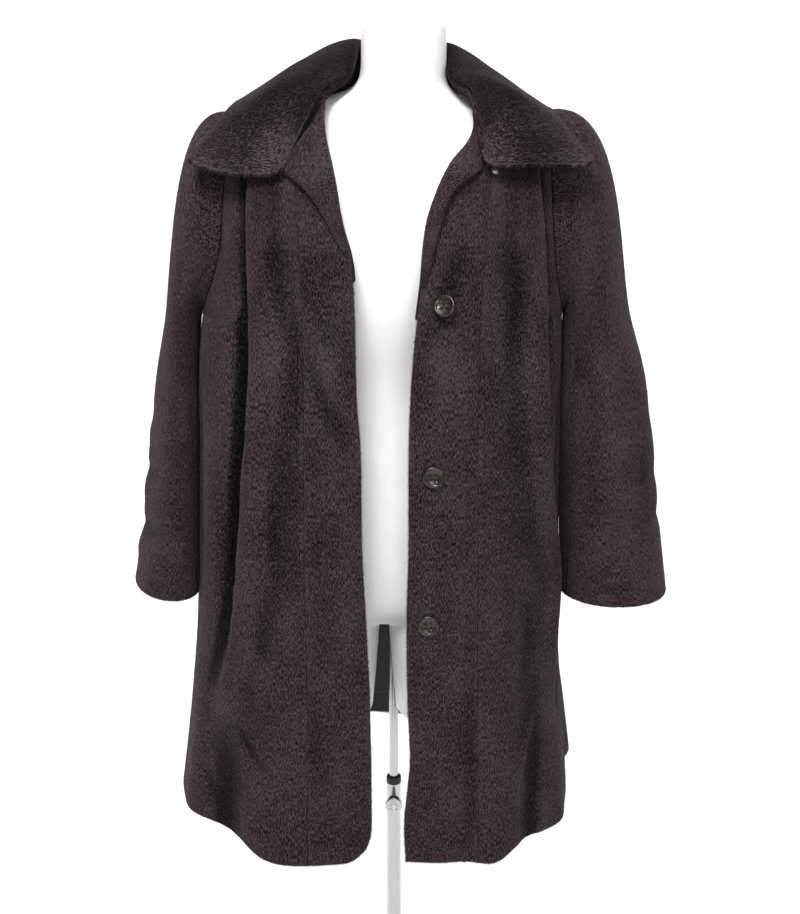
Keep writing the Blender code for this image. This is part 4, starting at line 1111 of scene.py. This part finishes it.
def turned(name, profile, finish, body, nodes, place=Matrix(), steps=ROUND_STEPS, angle=35):
    """A closed solid of revolution about Z, from (radius, height) points listed round its section."""
    bm = bmesh.new()
    verts = [bm.verts.new((r, 0, z)) for r, z in profile]
    edges = [bm.edges.new(pair) for pair in zip(verts, verts[1:])]
    if profile[0][0] > 0:
        edges.append(bm.edges.new((verts[-1], verts[0])))
    bmesh.ops.spin(bm, geom=verts + edges, cent=(0, 0, 0), axis=(0, 0, 1), angle=2 * math.pi,
                   steps=steps, use_merge=True)
    bmesh.ops.remove_doubles(bm, verts=bm.verts, dist=1e-6)
    bmesh.ops.recalc_face_normals(bm, faces=bm.faces)
    bmesh.ops.transform(bm, matrix=place, verts=bm.verts)
    mesh = bpy.data.meshes.new(name)
    bm.to_mesh(mesh)
    bm.free()
    mesh.shade_smooth()
    mesh.set_sharp_from_angle(angle=math.radians(angle))
    mesh.materials.append(finish)
    piece = bpy.data.objects.new(name, mesh)
    bpy.context.collection.objects.link(piece)
    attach(piece, body)
    if nodes:
        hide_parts(*nodes)
    print(f"{name}: {len(mesh.polygons)} faces")
    return piece


def arc(centre, radius, first, last, count=5):
    """Points of a round stretch of a section, from one angle to another in degrees."""
    return [(centre[0] + radius * math.cos(math.radians(first + (last - first) * k / count)),
             centre[1] + radius * math.sin(math.radians(first + (last - first) * k / count)))
            for k in range(count + 1)]


# %% [markdown]
# A button sits on the front where the surface says, turned to face the way the cloth faces. Its
# four holes are cut by a Boolean, the thread bars lie across the pairs of holes, and a short stalk
# of thread holds the button off the nap. The top button hangs tilted on its stalk.

# %% Buttons
BUTTON_R, BUTTON_T = 0.0125, 0.0042
BUTTONS = [(58, 1194), (47, 998), (42, 816)]
HOLE_PLACE, HOLE_R = 0.0036, 0.00125
TILT, TILT_AXIS = math.radians(-34), (0.36, 0.93, 0)


def seat(x, z, lift):
    cell = (LEFT, *spot(LEFT, x * MM, z * MM))
    out = body_normal(*cell)
    turn = Vector((0, 0, 1)).rotation_difference(out).to_matrix().to_4x4()
    return Matrix.Translation(body_point(*cell, False) + out * lift) @ turn


r, h = BUTTON_R, BUTTON_T
BUTTON_SECTION = ([(0, 0), (r * 0.80, 0)] + arc((r * 0.86, h * 0.52), h * 0.50, -60, 100, 9)
                  + [(r * 0.74, h * 0.80), (r * 0.66, h * 0.66), (r * 0.3, h * 0.58), (0, h * 0.56)])
for number, (x, z) in enumerate(BUTTONS, 1):
    place = seat(x, z, 0.0016)
    if number == 1:
        place = seat(x, z, 0.0074) @ Matrix.Rotation(TILT, 4, Vector(TILT_AXIS))
    button = turned(f"button_{number}_horn", BUTTON_SECTION, HORN, CLOTH_BODY, [f"button_{number}"],
                    place, 56, 50)
    for k in range(4):
        angle = math.pi / 4 + k * math.pi / 2
        bm = bmesh.new()
        bmesh.ops.create_cone(bm, cap_ends=True, segments=16, radius1=HOLE_R, radius2=HOLE_R, depth=0.02,
                              matrix=Matrix.Translation((HOLE_PLACE * math.cos(angle),
                                                         HOLE_PLACE * math.sin(angle), 0)))
        bmesh.ops.transform(bm, matrix=place, verts=bm.verts)
        mesh = bpy.data.meshes.new("hole")
        bm.to_mesh(mesh)
        bm.free()
        drill = bpy.data.objects.new("hole", mesh)
        bpy.context.collection.objects.link(drill)
        cut = button.modifiers.new("hole", "BOOLEAN")
        cut.operation, cut.object = "DIFFERENCE", drill
        whole = bpy.data.meshes.new_from_object(button.evaluated_get(bpy.context.evaluated_depsgraph_get()))
        button.modifiers.remove(cut)
        button.data = whole
        bpy.data.objects.remove(drill)
    bm = bmesh.new()
    for across in (-1, 1):
        for strand in (-1, 0, 1):
            bar = Matrix.Rotation(math.radians(90), 4, "Z") @ Matrix.Translation(
                (0, across * HOLE_PLACE * 0.72 + strand * 0.0005, h * 0.62)) @ Matrix.Rotation(
                     math.radians(90), 4, "Y")
            bmesh.ops.create_cone(bm, cap_ends=True, segments=8, radius1=0.00032, radius2=0.00032,
                                  depth=HOLE_PLACE * 1.5, matrix=bar)
    bmesh.ops.transform(bm, matrix=place, verts=bm.verts)
    foot, top = seat(x, z, 0.0).translation, place @ Vector((0, 0, 0.0004))
    stalk = Vector((0, 0, 1)).rotation_difference(top - foot).to_matrix().to_4x4()
    bmesh.ops.create_cone(bm, cap_ends=True, segments=12, radius1=0.0016, radius2=0.0013,
                          depth=(top - foot).length, matrix=Matrix.Translation((foot + top) / 2) @ stalk)
    mesh = bpy.data.meshes.new(f"button_{number}_thread")
    bm.to_mesh(mesh)
    bm.free()
    mesh.shade_smooth()
    mesh.materials.append(THREAD)
    thread = bpy.data.objects.new(f"button_{number}_thread", mesh)
    bpy.context.collection.objects.link(thread)
    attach(thread, CLOTH_BODY)

# %% Press stud
STUD_PLACE = (116, 1341)
turned("press_stud_cap", [(0, 0), (0.0048, 0), (0.0050, 0.0004), (0.0046, 0.0009), (0.0034, 0.0011),
                          (0.0030, 0.0017), (0.0022, 0.0020), (0, 0.0021)],
       STUD_STEEL, CLOTH_BODY, ["press_stud"], seat(*STUD_PLACE, 0.0010), 48)

# %% [markdown]
# The torso form is a moulded white shell. It is lofted through level rings, its two short thighs
# are joined on, and a remesh with a few smoothing passes blends them as a mould would.


# %% Form
def shell_finish():
    shell = Finish("moulded_shell", Roughness=0.38, Specular_IOR_Level=0.45)
    place = shell.object_place()
    clouds = shell.noise(place, 0.06, 2.0)
    grain = shell.noise(place, 0.0016, 2.0)
    colour = shell.ramp(clouds, (0.3, (0.80, 0.79, 0.785)), (0.7, (0.86, 0.855, 0.85)))
    return shell.feed(Base_Color=colour, Roughness=0.30 + clouds * 0.16,
                      Normal=shell.bump(grain, 0.0003, 0.12))


FORM = Table("z x half front back", [
    (778, -5, 150, -118, 38), (800, -5, 166, -131, 52), (850, -4, 170, -135, 60), (900, -3, 168, -134, 60),
    (960, -2, 150, -130, 45), (1040, 0, 130, -122, 18), (1100, 2, 136, -127, 20), (1180, 4, 152, -150, 30),
    (1240, 6, 164, -158, 36), (1290, 6, 168, -146, 40), (1330, 5, 170, -126, 38), (1360, 3, 169, -104, 32),
    (1385, 1, 166, -82, 24), (1403, 0, 158, -70, 18), (1417, 0.5, 104, -64, 12), (1424, 6, 70, -62, 18),
    (1436, 11, 54, -65, 30), (1455, 13, 51.5, -65, 34), (1505, 13, 51, -64, 35)])
FORM_HEIGHTS = (0.794, 0.84, 0.90, 0.96, 1.04, 1.10, 1.16, 1.21, 1.25, 1.29, 1.33, 1.36, 1.385, 1.403,
                1.417, 1.424, 1.436, 1.46, 1.505)
THIGH = Table("z half deep", [(630, 68, 66), (700, 74, 70), (760, 78, 72), (810, 76, 70)])
THIGH_MIDDLE, THIGH_OUT, THIGH_Y = -0.012, 0.084, -0.060
SHELL_POWER = 2 / 2.3


def ring(middle, half, deep, z, share, power=1.0, shrink=1.0):
    a = 2 * math.pi * share
    s, c = math.sin(a), math.cos(a)
    return Vector((middle[0] + shrink * half * math.copysign(abs(c) ** power, c),
                   middle[1] + shrink * deep * math.copysign(abs(s) ** power, s), z))


def tube(name, place, rows, columns=96):
    """A closed loft: a grid whose sides meet, with both ends drawn in to a point."""
    bm = bmesh.new()
    bmesh.ops.create_grid(bm, x_segments=columns, y_segments=rows, size=1)
    for vert in bm.verts:
        vert.co = place((vert.co.x + 1) / 2, round((vert.co.y + 1) / 2 * rows))
    bmesh.ops.remove_doubles(bm, verts=bm.verts, dist=1e-5)
    bmesh.ops.recalc_face_normals(bm, faces=bm.faces)
    mesh = bpy.data.meshes.new(name)
    bm.to_mesh(mesh)
    bm.free()
    piece = bpy.data.objects.new(name, mesh)
    bpy.context.collection.objects.link(piece)
    return piece


def form_place(share, row):
    heights = list(np.interp(np.linspace(0, len(FORM_HEIGHTS) - 1, 60),
                             range(len(FORM_HEIGHTS)), FORM_HEIGHTS))
    under = [(0.0, 0.030), (0.30, 0.0295), (0.55, 0.027), (0.72, 0.022), (0.86, 0.014), (0.95, 0.006)]
    if row < len(under):
        shrink, drop = under[row]
        z = heights[0]
    elif row < len(under) + len(heights):
        shrink, drop, z = 1.0, 0.0, heights[row - len(under)]
    else:
        shrink, drop, z = (0.97, 0.5, 0.0)[row - len(under) - len(heights)], -0.0008, heights[-1]
    front, back = FORM.read("front", z), FORM.read("back", z)
    middle = (FORM.read("x", z), (front + back) / 2)
    return ring(middle, FORM.read("half", z), (back - front) / 2, z - drop, share, SHELL_POWER, shrink)


def thigh_place(side):
    ends = [(0.0, 0.629), (0.6, 0.6295), (0.9, 0.632), (1.0, 0.638)]

    def place(share, row):
        if row < len(ends):
            shrink, z = ends[row]
        else:
            z = 0.638 + (0.830 - 0.638) * (row - len(ends) + 1) / 12
            shrink = 1.0 if row < 15 else 0.0
        middle = (THIGH_MIDDLE + side * THIGH_OUT, THIGH_Y)
        return ring(middle, THIGH.read("half", z), THIGH.read("deep", z), z, share, 1.0, shrink)
    return place


form = tube("form_shell", form_place, 68)
thighs = [tube(f"thigh_{NAME[side]}", thigh_place(side), 15, 72) for side in (RIGHT, LEFT)]
for thigh in thighs:
    union = form.modifiers.new("thigh", "BOOLEAN")
    union.operation, union.object = "UNION", thigh
remesh = form.modifiers.new("mould", "REMESH")
remesh.mode, remesh.voxel_size, remesh.use_smooth_shade = "VOXEL", 0.0045, True
soften = form.modifiers.new("soften", "SMOOTH")
soften.factor, soften.iterations = 0.5, 10
moulded = bpy.data.meshes.new_from_object(form.evaluated_get(bpy.context.evaluated_depsgraph_get()))
form.modifiers.clear()
form.data = moulded
form.data.materials.clear()
form.data.materials.append(shell_finish())
form.data.shade_smooth()
for thigh in thighs:
    bpy.data.objects.remove(thigh)
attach(form, CLOTH_BODY)
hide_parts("form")
print("form:", len(form.data.polygons), "faces")

# %% [markdown]
# The stand is turned metal: a brushed base disc with a socket, a chrome outer tube, a rubber
# guide ring at its top, the thinner inner tube that slides in it, and the knob that clamps it.

# %% Stand
BASE_R, BASE_T = 0.180, 0.010
TUBE_R, MAST_R = 0.0098, 0.00635
RING_Z, KNOB_Z = 0.496, 0.468
MAST_TOP, MAST_FOOT = 0.812, 0.180
GAP = 0.0003


def rubber_finish():
    rubber = Finish("black_rubber", Specular_IOR_Level=0.35)
    specks = rubber.noise(rubber.object_place(), 0.0008, 2.0)
    colour = rubber.ramp(specks, (0.3, (0.010, 0.010, 0.010)), (0.7, (0.024, 0.024, 0.025)))
    return rubber.feed(Base_Color=colour, Roughness=0.45 + specks * 0.2, Normal=rubber.bump(specks, 0.0002))


lip = MAST_R + 0.0004
turned("base_disc", [(0, 0), (BASE_R - 0.002, 0)] + arc((BASE_R - 0.002, 0.002), 0.002, -90, 0)
       + arc((BASE_R - 0.003, BASE_T - 0.003), 0.003, 0, 90)
       + [(0.026, BASE_T)] + arc((0.026, BASE_T + 0.004), 0.004, -90, -180)
       + [(0.021, BASE_T + 0.010)] + arc((0.018, BASE_T + 0.013), 0.003, 0, 90)
       + [(TUBE_R + GAP, BASE_T + 0.016), (TUBE_R + GAP, BASE_T + 0.002), (0, BASE_T + 0.002)],
       BASE_STEEL, "stand", ["base"], steps=128)
turned("outer_tube_chrome", [(TUBE_R, BASE_T + 0.0023), (TUBE_R, RING_Z - 0.006),
                              (TUBE_R - 0.0014, RING_Z - 0.006),
                             (TUBE_R - 0.0014, BASE_T + 0.0023)],
       CHROME, "stand", ["outer_tube"])
turned("guide_ring", [(lip, RING_Z - 0.0057), (TUBE_R + 0.0003, RING_Z - 0.0057),
                      (TUBE_R + 0.0008, RING_Z - 0.004),
                      (TUBE_R + 0.0005, RING_Z + 0.002)]
       + arc((TUBE_R - 0.0016, RING_Z + 0.0030), 0.002, 0, 90)
       + [(lip, RING_Z + 0.005)], rubber_finish(), "stand", ["tube_ring"])
turned("inner_tube_chrome", [(MAST_R, MAST_FOOT), (MAST_R, MAST_TOP - 0.0006), (MAST_R - 0.0006, MAST_TOP),
                             (MAST_R - 0.0015, MAST_TOP), (MAST_R - 0.0015, MAST_FOOT)],
       CHROME, "mast", ["inner_tube"])
turned("knob", [(0, 0), (0.0052, 0), (0.0052, 0.008), (0.0104, 0.0083)]
       + arc((0.0108, 0.0096), 0.0012, -90, 0)
       + [(0.0120, 0.0162)] + arc((0.0108, 0.0166), 0.0012, 0, 90) + [(0.0064, 0.0186), (0.0058, 0.0180),
                (0.0040, 0.0180), (0.0034, 0.0190), (0, 0.0190)],
       CHROME, "knob", ["clamp_knob"],
       Matrix.Translation((0, -(TUBE_R + GAP), KNOB_Z)) @ Matrix.Rotation(math.pi / 2, 4, "X"))

# %% [markdown]
# A pale floor curves up into the backdrop, as in a product studio, and three large soft lights
# from the front and the sides leave only gentle shadows in the folds.

# %% Studio
FLOOR_HALF, SWEEP_Y, SWEEP_R, WALL_Z = 6.0, 2.2, 1.5, 5.0


def sweep_profile():
    curve_up = arc((SWEEP_Y, SWEEP_R), SWEEP_R, -90, 0, 16)
    return [(-5.0, 0.0)] + curve_up + [(SWEEP_Y + SWEEP_R, WALL_Z)]


bm = bmesh.new()
line = [bm.verts.new((-FLOOR_HALF, y, z - 0.0005)) for y, z in sweep_profile()]
edges = [bm.edges.new(pair) for pair in zip(line, line[1:])]
copied = bmesh.ops.extrude_edge_only(bm, edges=edges)["geom"]
bmesh.ops.translate(bm, vec=(2 * FLOOR_HALF, 0, 0),
                    verts=[g for g in copied if isinstance(g, bmesh.types.BMVert)])
bmesh.ops.recalc_face_normals(bm, faces=bm.faces)
mesh = bpy.data.meshes.new("studio_floor")
bm.to_mesh(mesh)
bm.free()
mesh.shade_smooth()
paper = Finish("white_paper", Roughness=0.9, Specular_IOR_Level=0.1)
paper.shader.inputs["Base Color"].default_value = (0.93, 0.93, 0.93, 1)
mesh.materials.append(paper.material)
floor = bpy.data.objects.new("studio_floor", mesh)
bpy.context.collection.objects.link(floor)

world = bpy.data.worlds.new("soft_sky")
world.use_nodes = True
world.node_tree.nodes["Background"].inputs["Color"].default_value = (1, 1, 1, 1)
world.node_tree.nodes["Background"].inputs["Strength"].default_value = 0.21
bpy.context.scene.world = world

LIGHTS = {
    # name: place, size, watts
    "key": ((-0.5, -2.1, 3.5), 1.2, 114),
    "fill": ((0.8, -3.4, 1.6), 1.6, 36),
    "top": ((0.0, -0.4, 3.6), 2.0, 36),
    "backdrop_left": ((-1.6, 1.3, 2.9), 1.4, 58),
    "backdrop_right": ((1.6, 1.3, 2.9), 1.4, 58),
}
AIMS = {"backdrop_left": (-0.4, 2.9, 0.4), "backdrop_right": (0.4, 2.9, 0.4)}
for name, (place, size, watts) in LIGHTS.items():
    lamp = bpy.data.lights.new(name, "AREA")
    lamp.shape, lamp.size, lamp.energy = "DISK", size, watts
    light = bpy.data.objects.new(name, lamp)
    light.location = place
    light.rotation_euler = (Vector(AIMS.get(name, (0, 0, 1.05)))
                            - Vector(place)).to_track_quat("-Z", "Y").to_euler()
    bpy.context.collection.objects.link(light)
print(len(LIGHTS), "soft lights")
